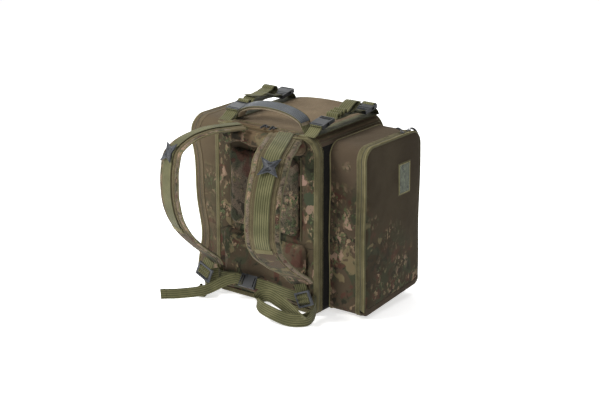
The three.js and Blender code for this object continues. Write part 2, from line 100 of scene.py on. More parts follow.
class Surface:
    """A Principled material whose nodes are added by short calls."""

    def __init__(self, name, roughness=0.9, metallic=0.0, sheen=0.0, specular=0.3):
        self.material = bpy.data.materials.new(name)
        self.material.use_nodes = True
        self.tree = self.material.node_tree
        self.shader = self.tree.nodes["Principled BSDF"]
        self.shader.inputs["Roughness"].default_value = roughness
        self.shader.inputs["Metallic"].default_value = metallic
        self.shader.inputs["Specular IOR Level"].default_value = specular
        self.shader.inputs["Sheen Weight"].default_value = sheen
        self.shader.inputs["Sheen Roughness"].default_value = 0.5
        coordinates = self.tree.nodes.new("ShaderNodeTexCoord")
        self.object = coordinates.outputs["Object"]
        self.uv = coordinates.outputs["UV"]

    def node(self, kind, inputs=(), output=0, **settings):
        made = self.tree.nodes.new(kind)
        for key, value in settings.items():
            setattr(made, key, value)
        for key, value in dict(inputs).items():
            if isinstance(value, bpy.types.NodeSocket):
                self.tree.links.new(value, made.inputs[key])
            else:
                made.inputs[key].default_value = value
        return made.outputs[output]

    def math(self, operation, a, b=0.0):
        return self.node("ShaderNodeMath", {0: a, 1: b}, operation=operation)

    def noise(self, scale, detail=2.0, distortion=0.0, offset=0.0, stretch=(1, 1, 1), vector=None):
        placed = self.node(
            "ShaderNodeMapping",
            {
                "Vector": vector or self.object, "Location": (offset, offset * 0.7, offset * 1.3),
                "Scale": stretch
            },
        )
        return self.node(
            "ShaderNodeTexNoise", {"Vector": placed, "Scale": scale, "Detail": detail, "Distortion": distortion}
        )

    def cells(self, scale, offset=0.0, output="Color", feature="F1", stretch=(1, 1, 1), vector=None):
        placed = self.node(
            "ShaderNodeMapping",
            {"Vector": vector or self.object, "Location": (offset, offset, -offset), "Scale": stretch},
        )
        return self.node("ShaderNodeTexVoronoi", {"Vector": placed, "Scale": scale}, output, feature=feature)

    def ramp(self, value, low, high):
        return self.node(
            "ShaderNodeMapRange", {
                "Value": value, "From Min": low, "From Max": high
            }, interpolation_type="SMOOTHSTEP"
        )

    def mix(self, factor, a, b):
        return self.node("ShaderNodeMix", {0: factor, 6: a, 7: b}, 2, data_type="RGBA")

    def axis(self, which, vector=None):
        return self.node("ShaderNodeSeparateXYZ", {0: vector or self.object}, "XYZ".index(which))

    def waves(self, value, pitch):
        """A wave from 0 to 1 along a value in metres."""
        turned = self.math("MULTIPLY", value, 2 * math.pi / pitch)
        return self.math("MULTIPLY", self.math("ADD", self.math("SINE", turned), 1.0), 0.5)

    def weave(self, pitch):
        """The height of a plain weave that needs no UVs: two slanting sets of threads."""
        x, y, z = (self.axis(a) for a in "XYZ")
        one = self.math("ADD", self.math("ADD", x, y), z)
        two = self.math("ADD", self.math("SUBTRACT", x, y), self.math("MULTIPLY", z, -1.0))
        return self.math("MULTIPLY", self.waves(one, pitch), self.waves(two, pitch))

    def bump(self, height, strength, distance, normal=None):
        inputs = {"Height": height, "Strength": strength, "Distance": distance}
        if normal is not None:
            inputs["Normal"] = normal
        return self.node("ShaderNodeBump", inputs)

    def finish(self, color, normal=None, roughness=None):
        self.tree.links.new(color, self.shader.inputs["Base Color"])
        if normal is not None:
            self.tree.links.new(normal, self.shader.inputs["Normal"])
        if roughness is not None:
            self.tree.links.new(roughness, self.shader.inputs["Roughness"])
        return self.material


def cloth_normal(s, pitch=0.0011, crease=0.35):
    """Weave over soft creases."""
    creases = s.bump(s.noise(26, 3.0, 0.6, 4.0), crease, 0.004)
    return s.bump(s.weave(pitch), 0.35, 0.0004, creases)


def plain_cloth(name, color, dark, light, crease=0.35):
    s = Surface(name, 0.9, sheen=0.04, specular=0.15)
    tone = s.mix(s.ramp(s.noise(7, 3.0, 0.4), 0.35, 0.7), rgb(dark), rgb(color))
    tone = s.mix(s.math("MULTIPLY", s.ramp(s.noise(60, 4.0, 0.5, 2.0), 0.5, 0.75), 0.45), tone, rgb(light))
    thread = s.mix(s.math("MULTIPLY", s.weave(0.0011), 0.25), tone, rgb(dark))
    return s.finish(thread, cloth_normal(s, crease=crease))


def camo_cloth(
    name, ground="5a4e3c", shade="463c2e", amount=1.0, fade=None, offset=0.0, mesh=False, busy=0.0, spots=()
):
    """A printed camouflage cloth: blurred patches under small torn flecks, on a base that drifts from ground to
    shade. amount is the print's strength, and busy adds flecks. fade gives how much of the print shows, as a
    function of the surface. spots are (centre in mm, radius in mm, colour) of single larger patches."""
    s = Surface(name, 0.92, sheen=0.03, specular=0.15)
    cover = 1.0 if fade is None else fade(s)

    def over(tone, mask, color, strength=1.0):
        share = s.math("MULTIPLY", mask, strength * amount)
        if fade is not None:
            share = s.math("MULTIPLY", share, cover)
        return s.mix(share, tone, rgb(color))

    tone = s.mix(s.ramp(s.noise(6, 3.0, 0.5, offset), 0.38, 0.66), rgb(ground), rgb(shade))
    tone = over(tone, s.ramp(s.noise(13, 4.0, 1.2, offset + 3.1), 0.5, 0.58), "353a2a", 0.85)
    tone = over(tone, s.ramp(s.noise(17, 3.0, 0.8, offset + 7.7), 0.56, 0.63), "4d3229", 0.85)
    tone = over(tone, s.ramp(s.noise(24, 4.0, 1.5, offset + 5.2), 0.57, 0.62), "25241c", 0.8)
    tone = over(tone, s.ramp(s.noise(20, 3.0, 1.0, offset + 9.4), 0.6, 0.66), "6d6248", 0.8)
    where = s.ramp(s.noise(11, 2.0, 0.6, offset + 1.3), 0.48, 0.6)
    for scale, low, color, shift in (
        (150, 0.84, "85715a", 0.4), (85, 0.9, "8b7462", 1.9), (230, 0.84, "4f583c", 2.8)
    ):
        torn = s.noise(scale * 0.9, 2.0, 0.0, shift)
        moved = s.node("ShaderNodeMix", {0: 0.012, 4: s.object, 5: torn}, 1, data_type="VECTOR")
        fleck = s.cells(scale, offset + shift, stretch=(1, 1, 0.6), vector=moved)
        red = s.node("ShaderNodeSeparateColor", {0: fleck}, 0)
        tone = over(tone, s.math("MULTIPLY", s.ramp(red, low - busy, low - busy + 0.02), where), color)
    big = s.ramp(s.noise(42, 5.0, 2.2, offset + 6.6), 0.665, 0.69)
    tone = over(tone, s.math("MULTIPLY", big, where), "8a7464", 0.75)
    for centre, radius, color in spots:
        torn = s.node(
            "ShaderNodeMix", {0: 0.03, 4: s.object, 5: s.noise(55, 4.0, 0.5, radius)}, 1, data_type="VECTOR"
        )
        away = s.node(
            "ShaderNodeVectorMath", {0: torn, 1: [c * MM * 0.97 + 0.015 for c in centre]}, 1,
            operation="DISTANCE"
        )
        tone = s.mix(s.ramp(away, radius * MM, radius * MM * 0.86), tone, rgb(color))
    if mesh:
        holes = s.cells(420, output="Distance")
        tone = s.mix(s.ramp(holes, 0.42, 0.2), tone, rgb("17150f"))
        creases = s.bump(s.noise(30, 2.0, 0.4), 0.3, 0.004)
        return s.finish(tone, s.bump(holes, 0.6, 0.0012, creases))
    return s.finish(tone, cloth_normal(s))


def webbing_cloth(name, color, dark, light, width, ribs=7):
    """Ribbed strap webbing. U runs across the strap and V along it, both in metres."""
    s = Surface(name, 0.8, sheen=0.08, specular=0.2)
    u, v = s.axis("X", s.uv), s.axis("Y", s.uv)
    rib = s.waves(u, width * MM / ribs)
    yarn = s.math("MULTIPLY", s.waves(s.math("ADD", v, u), 0.0022), s.waves(s.math("SUBTRACT", v, u), 0.0022))
    tone = s.mix(s.ramp(s.noise(18, 3.0, 0.3, 1.0), 0.35, 0.7), rgb(color), rgb(light))
    # Painted shade: the grooves between the ribs are darkened.
    tone = s.mix(s.math("MULTIPLY", s.ramp(rib, 0.42, 0.05), 0.75), tone, rgb(dark))
    tone = s.mix(s.math("MULTIPLY", yarn, 0.22), tone, rgb(dark))
    height = s.math("ADD", s.math("MULTIPLY", rib, 0.7), s.math("MULTIPLY", yarn, 0.3))
    return s.finish(tone, s.bump(height, 0.7, 0.0007))


def tape_cloth(name, color, dark):
    """Zip tape and binding: fine ribs across, from the surface's own place."""
    s = Surface(name, 0.85, sheen=0.05, specular=0.2)
    tone = s.mix(s.ramp(s.noise(30, 3.0, 0.3), 0.3, 0.7), rgb(dark), rgb(color))
    convex_edges = s.ramp(s.node("ShaderNodeNewGeometry", output="Pointiness"), 0.5, 0.58)
    tone = s.mix(s.math("MULTIPLY", convex_edges, 0.35), tone, rgb("8b8560"))
    return s.finish(tone, s.bump(s.weave(0.0014), 0.5, 0.0005))


def moulded(name, color, edge, roughness=0.42):
    """Moulded plastic with a fine grain and a painted highlight: its convex edges are lightened, as if catching
    the light.
    """
    s = Surface(name, roughness, specular=0.25)
    grain = s.noise(900, 2.0)
    # Painted highlight: the convex edges are mixed towards a pale grey to stand in for glints.
    convex_edges = s.ramp(s.node("ShaderNodeNewGeometry", output="Pointiness"), 0.51, 0.6)
    tone = s.mix(s.ramp(s.noise(40, 2.0), 0.3, 0.8), rgb(color), rgb(edge))
    tone = s.mix(s.math("MULTIPLY", convex_edges, 0.15), tone, rgb("74777b"))
    rough = s.node(
        "ShaderNodeMapRange", {"Value": grain, "To Min": roughness - 0.1, "To Max": roughness + 0.15}
    )
    return s.finish(tone, s.bump(grain, 0.25, 0.0004), rough)


def metal_finish(name, color):
    s = Surface(name, 0.35, metallic=0.9)
    scuffs = s.noise(500, 3.0, 0.4)
    tone = s.mix(s.ramp(scuffs, 0.45, 0.75), rgb(color), rgb("a3a4a6"))
    rough = s.node("ShaderNodeMapRange", {"Value": scuffs, "To Min": 0.25, "To Max": 0.5})
    return s.finish(tone, s.bump(scuffs, 0.2, 0.0003), rough)


def zip_coil(name):
    """The zip's coil: teeth along V, in metres."""
    s = Surface(name, 0.5, specular=0.5)
    tooth = s.waves(s.axis("Y", s.uv), 0.0021)
    tone = s.mix(s.ramp(tooth, 0.2, 0.7), rgb("15140f"), rgb("4a452e"))
    return s.finish(tone, s.bump(tooth, 0.9, 0.0008))


def grip_cover(name):
    """The handle's ribbed rubber: ribs along the handle, U across it."""
    s = Surface(name, 0.55, specular=0.45)
    rib = s.waves(s.axis("X", s.uv), 0.0042)
    tone = s.mix(s.ramp(rib, 0.1, 0.6), rgb("2b2f33"), rgb("4d5257"))
    tone = s.mix(s.math("MULTIPLY", s.ramp(s.noise(35, 3.0), 0.5, 0.8), 0.3), tone, rgb("666b70"))
    return s.finish(tone, s.bump(rib, 0.7, 0.001))


def patch_cloth(name):
    """A generic woven patch: fine satin cloth with a loose leaf pattern and no lettering."""
    s = Surface(name, 0.6, sheen=0.2)
    leaf = s.cells(130, 1.7, "Distance", stretch=(1, 1, 0.5))
    tone = s.mix(s.ramp(leaf, 0.15, 0.5), rgb("5f6650"), rgb("434a38"))
    tone = s.mix(s.ramp(s.noise(45, 3.0, 0.8), 0.5, 0.62), tone, rgb("2c3226"))
    return s.finish(tone, s.bump(s.weave(0.0009), 0.6, 0.0005))


def falling(low, high, y_share=0.0, y_mid=0.0, seed=0.0):
    """How much print shows: all of it below height low, none above high, in mm, with a torn edge."""

    def build(s):
        z = s.axis("Z")
        lean = s.math("MULTIPLY", s.math("SUBTRACT", s.axis("Y"), y_mid * MM), y_share)
        torn = s.math("MULTIPLY", s.math("SUBTRACT", s.noise(9, 4.0, 0.8, seed), 0.5), 0.4)
        level = s.math("ADD", s.math("ADD", z, lean), torn)
        return s.ramp(level, high * MM, low * MM)

    return build


CLOTH = plain_cloth("plain_brown", "5d5040", "4b4032", "6b5e4b")
# Painted light: a lighter copy of the plain cloth for the top panel, which faces the light from above.
LIT_TOP_CLOTH = plain_cloth("plain_top_lit", "665844", "564937", "76674f")
DARK_CLOTH = plain_cloth("plain_dark", "463b2e", "3a3126", "544838")
STRAP_CLOTH = plain_cloth("plain_strap", "5f563f", "4d4532", "6d6349", crease=0.2)
LINING = plain_cloth("lining", "3a362c", "2f2b23", "454034")
CAMO = camo_cloth("camo")
CAMO_SIDE = camo_cloth("camo_side", "52463a", fade=falling(330, 430), offset=2.0)
# The right pocket face's camo: the print and its fade are the cloth's own, but its ground and shade tones are
# darker than the left face's, painted shade for the side turned from the light.
SHADED_CAMO_FACE = camo_cloth(
    "camo_face", "3b3325", shade="31291c", amount=0.7, fade=falling(190, 330, 0.9, -30, 3.0), offset=6.0
)
MESH = camo_cloth("printed_mesh", "62574a", "4b4438", offset=1.0, mesh=True, busy=0.12)
WEBBING = {
    w: webbing_cloth(f"webbing_{w}", "585739", "2b2b19", "6c6a49", w, ribs)
    for w, ribs in ((42, 7), (38, 6), (30, 5))
}
BINDING = tape_cloth("binding", "57513a", "423d29")
PALE_BINDING = tape_cloth("piping", "756d50", "5b5439")
DARK_BINDING = tape_cloth("dark_piping", "24231d", "191813")
PLASTIC = moulded("buckle_plastic", "0b0c0d", "17181a")
GREY_PLASTIC = moulded("grey_plastic", "34363a", "4c4f54")
METAL = metal_finish("zip_metal", "6e6f73")
COIL = zip_coil("zip_coil")
GRIP = grip_cover("ribbed_cover")
PATCH = patch_cloth("woven_patch")
THREAD = tape_cloth("thread", "8a8360", "6d6747")
SHEET_PLASTIC = moulded("stiffener", "202022", "2c2c2e", 0.5)


# ---------------------------------------------------------------- mesh helpers
def linked(name, data):
    """A new object in the scene."""
    obj = bpy.data.objects.new(name, data)
    bpy.context.scene.collection.objects.link(obj)
    return obj


def mesh_piece(name, points, faces, material, uv=None, sharp=50.0):
    """A mesh object from points in mm. material may be a list, with each face's index as a fifth item of
    faces."""
    materials = material if isinstance(material, list) else [material]
    mesh = bpy.data.meshes.new(name)
    slots = [f[-1] if isinstance(f, tuple) and f[0] == "m" else 0 for f in faces]
    corners = [list(f[1]) if isinstance(f, tuple) and f[0] == "m" else list(f) for f in faces]
    mesh.from_pydata([tuple(p) for p in np.asarray(points, float) * MM], [], corners)
    for m in materials:
        mesh.materials.append(m)
    mesh.polygons.foreach_set("material_index", slots)
    mesh.polygons.foreach_set("use_smooth", [True] * len(corners))
    if uv is not None:
        layer = mesh.uv_layers.new(name="UVMap")
        index = np.zeros(len(mesh.loops), np.int32)
        mesh.loops.foreach_get("vertex_index", index)
        layer.data.foreach_set("uv", np.asarray(uv, np.float32)[index].ravel())
    mesh.validate()
    mesh.update()
    mesh.set_sharp_from_angle(angle=math.radians(sharp))
    return linked(name, mesh)


def ripples(points, size, seed, waves=9):
    """Smooth random heights from -1 to 1 at points in mm, with bumps of about that size."""
    draw = random.Random(seed)
    total = np.zeros(len(points))
    for _ in range(waves):
        direction = np.array([draw.gauss(0, 1) for _ in range(3)])
        direction *= 2 * math.pi / (size * draw.uniform(0.7, 1.6)) / np.linalg.norm(direction)
        total += np.sin(points @ direction + draw.uniform(0, 6.28))
    return total / waves**0.5 / 1.4


def catmull(points, values):
    """Points on the centripetal curve through points, at values from 0 to len - 1."""
    p = np.asarray(points, float)
    p = np.vstack([2 * p[0] - p[1], p, 2 * p[-1] - p[-2]])
    i = np.clip(np.floor(values).astype(int), 0, len(p) - 4)
    t = (np.asarray(values) - i)[:, None]
    a, b, c, d = p[i], p[i + 1], p[i + 2], p[i + 3]
    gaps = [
        np.maximum(np.linalg.norm(v - u, axis=1)[:, None] ** 0.5, 1e-6) for u, v in ((a, b), (b, c), (c, d))
    ]
    m1 = ((b - a) / gaps[0] - (c - a) / (gaps[0] + gaps[1]) + (c - b) / gaps[1]) * gaps[1]
    m2 = ((c - b) / gaps[1] - (d - b) / (gaps[1] + gaps[2]) + (d - c) / gaps[2]) * gaps[1]
    near = (2 * t**3 - 3 * t**2 + 1) * b + (t**3 - 2 * t**2 + t) * m1
    return near + (3 * t**2 - 2 * t**3) * c + (t**3 - t**2) * m2


def even(points, count, start=0.0, end=1.0):
    """count points at even steps along the curve through points, from share start to share end of its
    length."""
    dense = catmull(points, np.linspace(0, len(points) - 1, 40 * len(points)))
    along = np.r_[0, np.cumsum(np.linalg.norm(np.diff(dense, axis=0), axis=1))]
    wanted = np.linspace(start, end, count) * along[-1]
    return np.stack([np.interp(wanted, along, dense[:, k]) for k in range(3)], 1)


def unit(v):
    return v / np.maximum(np.linalg.norm(v, axis=-1, keepdims=True), 1e-9)


def frames(centres, across, start=0.0, end=1.0):
    """The unit vectors along, across and out of a strip's face at each centre."""
    along = unit(np.gradient(centres, axis=0))
    t = np.linspace(start, end, len(centres)) * (len(across) - 1)
    side = catmull(across, t) if len(across) > 1 else np.repeat([across[0]], len(centres), 0)
    side = unit(side - along * np.sum(side * along, 1)[:, None])
    return along, side, unit(np.cross(along, side))


def tube_faces(rows, ring, closed_rows=False, caps=True):
    """Quads between rings of points, and the caps."""
    faces = []
    for i in range(rows if closed_rows else rows - 1):
        j = (i + 1) % rows
        for k in range(ring):
            m = (k + 1) % ring
            faces.append((i * ring + k, i * ring + m, j * ring + m, j * ring + k))
    if caps and not closed_rows:
        faces.append(tuple(range(ring - 1, -1, -1)))
        faces.append(tuple((rows - 1) * ring + k for k in range(ring)))
    return faces


def sweep(name, centres, side, face, profile, material, closed=False, slots=None, uv_width=None):
    """A solid whose profile, rows of (across, out) in mm that may change along the way, follows the centres."""
    rows, ring = len(centres), len(profile[0])
    p = np.asarray(profile, float)
    points = centres[:, None] + side[:, None] * p[:, :, :1] + face[:, None] * p[:, :, 1:]
    length = np.r_[0, np.cumsum(np.linalg.norm(np.diff(centres, axis=0), axis=1))]
    uv = np.stack([p[:, :, 0] + (uv_width or 0) / 2, np.repeat(length[:, None], ring, 1)], 2) * MM
    faces = tube_faces(rows, ring, closed)
    if slots:
        body = len(faces) - (0 if closed else 2)
        faces = [("m", f, slots[n % ring] if n < body else 0) for n, f in enumerate(faces)]
    return mesh_piece(name, points.reshape(-1, 3), faces, material, uv.reshape(-1, 2))


def ribbon_profile(width, thickness, ribs, relief=0.35):
    """The outline across a strip of webbing, with raised ribs on both faces."""
    count = ribs * 4
    u = np.linspace(-1, 1, count + 1)
    swell = relief * (0.5 + 0.5 * np.cos(u * math.pi * ribs + math.pi * (ribs - 1)))
    edge = np.clip((1 - np.abs(u)) * width / 2 / 0.8, 0.35, 1)
    top = np.stack([u * width / 2, (thickness / 2 - relief + swell) * edge], 1)
    bottom = np.stack([u[::-1] * width / 2, -(thickness / 2 - relief + swell[::-1]) * edge[::-1]], 1)
    return np.vstack([top, bottom])


def ribbon(
    name, route, across, width, steps, thickness=2.2, lift=0.0, start=0.0, end=1.0, material=None, ribs=None
):
    """Ribbed webbing along a route in mm."""
    ribs = ribs or {42: 7, 38: 6, 30: 5}[width]
    centres = even(route, steps + 1, start, end)
    _, side, face = frames(centres, across, start, end)
    flat = ribbon_profile(width, thickness, ribs) + [0, lift]
    return sweep(name, centres, side, face, [flat] * len(centres), material or WEBBING[width], uv_width=width)


def cord_tube(name, centres, radius, material, closed=False, sides=8):
    """A round tube along points in mm. radius may be a list, one for each point."""
    centres = np.asarray(centres, float)
    if closed:
        along = unit(np.roll(centres, -1, 0) - np.roll(centres, 1, 0))
    else:
        along = unit(np.gradient(centres, axis=0))
    helper = np.array([0.31, 0.52, 0.79])
    side = unit(np.cross(along, helper))
    face = unit(np.cross(along, side))
    radii = np.broadcast_to(np.asarray(radius, float), (len(centres),))
    angles = np.linspace(0, 2 * math.pi, sides, endpoint=False)
    circle = np.stack([np.cos(angles), np.sin(angles)], 1)
    return sweep(name, centres, side, face, [circle * r for r in radii], material, closed)


def stitches(name, path, material=THREAD, pitch=4.0, length=2.6, radius=0.45):
    """A row of stitches along a path in mm, each a small bar."""
    path = np.asarray(path, float)
    along = np.r_[0, np.cumsum(np.linalg.norm(np.diff(path, axis=0), axis=1))]
    count = max(1, int(along[-1] / pitch))
    points, faces = [], []
    for i in range(count):
        ends = []
        for shift in (0.0, length):
            d = min(i * pitch + shift, along[-1])
            ends.append([np.interp(d, along, path[:, k]) for k in range(3)])
        a, b = np.array(ends)
        if np.linalg.norm(b - a) < 0.5:
            continue
        direction = unit(b - a)
        side = unit(np.cross(direction, [0.31, 0.52, 0.79]))
        up = np.cross(direction, side)
        first = len(points)
        for end in (a, b):
            for s, u in ((1, 0), (0, 1), (-1, 0), (0, -1)):
                points.append(end + side * s * radius + up * u * radius)
        faces += [tuple(first + k for k in f) for f in tube_faces(2, 4)]
    return mesh_piece(name, points, faces, material)


def arc_points(cx, cz, radius, start, end, count):
    """Points round an arc, from one angle in degrees to another."""
    angles = np.radians(np.linspace(start, end, count))
    return [(cx + radius * math.cos(angle), cz + radius * math.sin(angle)) for angle in angles]


def divided(a, b, pieces):
    """The start of each of the equal pieces between two points."""
    return [tuple(np.array(a) + (np.array(b) - a) * k / pieces) for k in range(pieces)]


def corner_run(corners, first, last, arc=10, straight=26):
    """Outline points from the middle of one rounded corner to the middle of another. Corners are
    (x, z, radius, start)."""
    points = []
    for n in range(first, last + 1):
        cx, cz, radius, start = corners[n % 4]
        low = 45 if n == first else 0
        high = 45 if n == last else 90
        if first == last:
            low, high = 0, 90
        points += arc_points(cx, cz, radius, start + low, start + high, arc)
    dense = []
    for a, b in zip(points, points[1:]):
        dense += divided(a, b, straight if math.dist(a, b) > STRAIGHT_FROM else 1)
    return np.array(dense + [points[-1]])


def corners_of(half, z0, z1, top, base, inset=0.0):
    t, b = max(top - inset, 0.5), max(base - inset, 0.5)
    half, low, high = half - inset, z0 + inset, z1 - inset
    return [
        (half - b, low + b, b, -90), (half - t, high - t, t, 0), (t - half, high - t, t, 90),
        (b - half, low + b, b, 180)
    ]


def loop_outline(half, z0, z1, top, base, inset=0.0, arc=10, straight=26):
    """The whole outline as a closed loop of points, without repeating the first."""
    points = []
    for cx, cz, radius, start in corners_of(half, z0, z1, top, base, inset):
        points += arc_points(cx, cz, radius, start, start + 90, arc)
    dense = []
    for n, a in enumerate(points):
        b = points[(n + 1) % len(points)]
        dense += divided(a, b, straight if n % arc == arc - 1 else 1)
    return np.array(dense)


def shell(name, outer, inner, material, closed=False, slots=None):
    """A sheet with thickness from two grids of points, rows by columns. closed joins the last column to the
    first."""
    rows, columns = outer.shape[:2]
    points = np.concatenate([outer.reshape(-1, 3), inner.reshape(-1, 3)])
    faces, base = [], rows * columns
    span = columns if closed else columns - 1
    for i in range(rows - 1):
        for k in range(span):
            m = (k + 1) % columns
            a, b, c, d = i * columns + k, i * columns + m, (i + 1) * columns + m, (i + 1) * columns + k
            faces.append(("m", (a, b, c, d), 0))
            faces.append(("m", (base + d, base + c, base + b, base + a), 1 if slots else 0))
    for k in range(span):
        m = (k + 1) % columns
        faces.append(("m", (m, k, base + k, base + m), 0))
        last = (rows - 1) * columns
        faces.append(("m", (last + k, last + m, base + last + m, base + last + k), 0))
    if not closed:
        for i in range(rows - 1):
            a, b = i * columns, (i + 1) * columns
            faces.append(("m", (a, b, base + b, base + a), 0))
            a, b = a + columns - 1, b + columns - 1
            faces.append(("m", (b, a, base + a, base + b), 0))
    length = np.linspace(0, 1, rows)[:, None] * np.ones(columns)
    width = np.ones(rows)[:, None] * np.linspace(0, 1, columns)
    uv = np.stack([width, length], 2).reshape(-1, 2)
    obj = mesh_piece(name, points, faces, material, np.vstack([uv, uv]), 60)
    turn_out(obj)
    return obj


def turn_out(obj):
    """Makes a closed mesh's faces look outwards."""
    mesh = obj.data
    volume = 0.0
    for polygon in mesh.polygons:
        co = [mesh.vertices[i].co for i in polygon.vertices]
        for k in range(1, len(co) - 1):
            volume += co[0].dot(co[k].cross(co[k + 1]))
    if volume < 0:
        mesh.flip_normals()
    return obj


def recolour(obj, material, where):
    """Gives another material to the faces whose centre, in mm, where() accepts."""
    obj.data.materials.append(material)
    slot = len(obj.data.materials) - 1
    for polygon in obj.data.polygons:
        if where(polygon.center / MM):
            polygon.material_index = slot


def rings_solid(name, rings, material, slots=None, sharp=50.0):
    """A closed solid from rings of points with the same count, capped at both ends."""
    rings = np.asarray(rings, float)
    rows, ring = rings.shape[:2]
    faces = tube_faces(rows, ring)
    if slots:
        walls = (rows - 1) * ring  # the two caps come after the walls
        caps = {walls: slots[0]}
        faces = [
            ("m", f, slots[min(n // ring, rows - 2)] if n < walls else caps.get(n, slots[-1]))
            for n, f in enumerate(faces)
        ]
    return turn_out(mesh_piece(name, rings.reshape(-1, 3), faces, material, sharp=sharp))


def at_y(outline, y):
    """Outline points (x, z) as points in space at depth y, which may be one number or one for each point."""
    outline = np.asarray(outline, float)
    return np.stack([outline[:, 0], np.broadcast_to(y, (len(outline),)), outline[:, 1]], 1)


def bevelled(node, width=0.9, segments=2, material=PLASTIC):
    """A CAD node kept as it is, with softened edges and a better material."""
    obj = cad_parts[node]
    bevel = obj.modifiers.new("Bevel", "BEVEL")
    bevel.width = width * MM
    bevel.segments = segments
    bevel.limit_method = "ANGLE"
    bevel.angle_limit = math.radians(40)
    obj.data.materials.clear()
    obj.data.materials.append(material)
    return obj


# ---------------------------------------------------------------- camera, lights and floor
AZIMUTH, ELEVATION, DISTANCE = math.radians(36.9), math.radians(18.03), 4.4594
TARGET = Vector((0.0112, -0.015, 0.264))
camera = linked("Camera", bpy.data.cameras.new("Camera"))
flat = math.cos(ELEVATION)
away = Vector((math.sin(AZIMUTH) * flat, -math.cos(AZIMUTH) * flat, math.sin(ELEVATION)))
camera.location = TARGET + away * DISTANCE
camera.rotation_euler = (-away).to_track_quat("-Z", "Y").to_euler()
camera.data.lens, camera.data.sensor_width = 96.0, 36.0
bpy.context.scene.camera = camera
bpy.context.scene.view_settings.view_transform = "Standard"


def area_light(name, position, size, energy, color=(1, 1, 1), aim=(0.0, 0.0, 0.25)):
    light = bpy.data.lights.new(name, "AREA")
    light.shape, light.size, light.size_y = "RECTANGLE", size[0], size[1]
    light.energy, light.color = energy, color
    obj = linked(name, light)
    obj.location = position
    obj.rotation_euler = (Vector(aim) - Vector(position)).to_track_quat("-Z", "Y").to_euler()


area_light("key", (-1.5, -2.6, 2.9), (1.3, 1.1), 150, (1.0, 0.985, 0.96))
area_light("top", (-0.3, 0.5, 3.2), (3.0, 3.0), 70, (1.0, 0.99, 0.98))
area_light("rim", (-2.8, 1.8, 1.8), (1.6, 1.6), 40, (0.97, 0.99, 1.0))
area_light("fill", (3.2, -1.2, 1.4), (2.2, 2.0), 7, (0.98, 0.99, 1.0))
world = bpy.data.worlds.new("World")
world.use_nodes = True
world.node_tree.nodes["Background"].inputs["Color"].default_value = (1.0, 1.0, 1.0, 1.0)
world.node_tree.nodes["Background"].inputs["Strength"].default_value = 0.24
bpy.context.scene.world = world

floor_surface = Surface("floor", 0.95)
floor_surface.shader.inputs["Emission Color"].default_value = (1.0, 1.0, 1.0, 1.0)
floor_surface.shader.inputs["Emission Strength"].default_value = 0.6
floor_tone = floor_surface.mix(floor_surface.noise(3, 2.0), rgb("f4f4f4"), rgb("f8f8f8"))
floor = mesh_piece(
    "floor", [(-9000, -9000, -1), (9000, -9000, -1), (9000, 9000, -1), (-9000, 9000, -1)], [(0, 1, 2, 3)],
    floor_surface.finish(floor_tone),
)

# ---------------------------------------------------------------- main compartment
BODY = (HALF_WIDTH, 0.0, HEIGHT, TOP_RADIUS, BASE_RADIUS)


def top_swell(points):
    """How far the top stands proud between its straps, in mm."""
    x, y = points[..., 0], points[..., 1]
    middle = np.clip(1 - (x / 118) ** 2, 0, 1) * np.clip(1 - ((y - 12) / 150) ** 2, 0, 1)
    wave = 0.5 * np.sin(x / 31 + y / 50) + 0.5 * np.sin(y / 23 - x / 60)
    return middle * (4.0 + 1.4 * wave) + far_rise(x) * np.clip((y + 70) / 225, 0, 1) ** 1.3


def far_rise(x):
    """How far the top's far edge is pushed up by what the bag holds, in mm."""
    return 14.0 * np.clip(1 - (x / 132) ** 2, 0, 1) ** 0.7


def raised(points):
    """Points of the front panel's outline, with its top edge pushed up to meet the top."""
    points = np.array(points, float)
    points[:, 2] += far_rise(points[:, 0]) * np.clip((points[:, 2] - HEIGHT + 60) / 60, 0, 1)
    return points


def wall_panel(name, first, last, y0, y1, material, swell=None, thickness=4.2, rows=20):
    run = corner_run(corners_of(*BODY), first, last)
    inner = corner_run(corners_of(*BODY, inset=thickness), first, last)
    ys = np.linspace(y0, y1, rows)
    outer = np.stack([at_y(run, y) for y in ys])
    inside = np.stack([at_y(inner, y) for y in ys])
    if swell is not None:
        outward = unit(outer - inside)
        amount = swell(outer)
        outer = outer + outward * amount[..., None]
        inside = inside + outward * amount[..., None]
    piece = shell(name, outer, inside, [material, LINING], slots=True)
    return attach(piece, "pack")


def side_swell(points):
    y, z = points[..., 1], points[..., 2]
    free = np.clip((-104 - y) / 12, 0, 1) * np.clip((y + 134) / 4, 0, 1)
    return free * (0.8 + 1.2 * np.sin(z / 41.0) * np.sin(z / 17.0 + 1)) - 0.4


# Painted shade: a near-black cloth for where the side walls lie in deep shade between the rear rim and the
# pockets.
RECESS_SHADE_CLOTH = plain_cloth("painted_recess_shade", "12110e", "0c0b09", "1c1a15")
right_wall = wall_panel("right_side", 0, 1, PANEL_REAR + 0.4, FRONT - 1, CAMO_SIDE, side_swell)
top_wall = wall_panel("top", 1, 2, PANEL_REAR + 0.4, FRONT - 1, LIT_TOP_CLOTH, top_swell, rows=40)
left_wall = wall_panel("left_side", 2, 3, PANEL_REAR + 0.4, FRONT - 1, CAMO_SIDE, side_swell)
base_wall = wall_panel("base", 3, 4, DOOR_INNER + 0.8, FRONT - 1, CLOTH)
for piece, node, slot in (
    (right_wall, "right_side_panel", "camo_fabric"),
    (top_wall, "top_panel", "plain_fabric"),
    (left_wall, "left_side_panel", "camo_fabric"),
    (base_wall, "base_panel", "plain_fabric"),
):
    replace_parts(piece, node)
# Painted shade: side-wall faces below z 470 and behind y 30, by the rear rim and under the pockets, take the
# near-black cloth.
for piece in (right_wall, left_wall):
    recolour(piece, RECESS_SHADE_CLOTH, lambda c: c[2] < 470 and c[1] < 30)


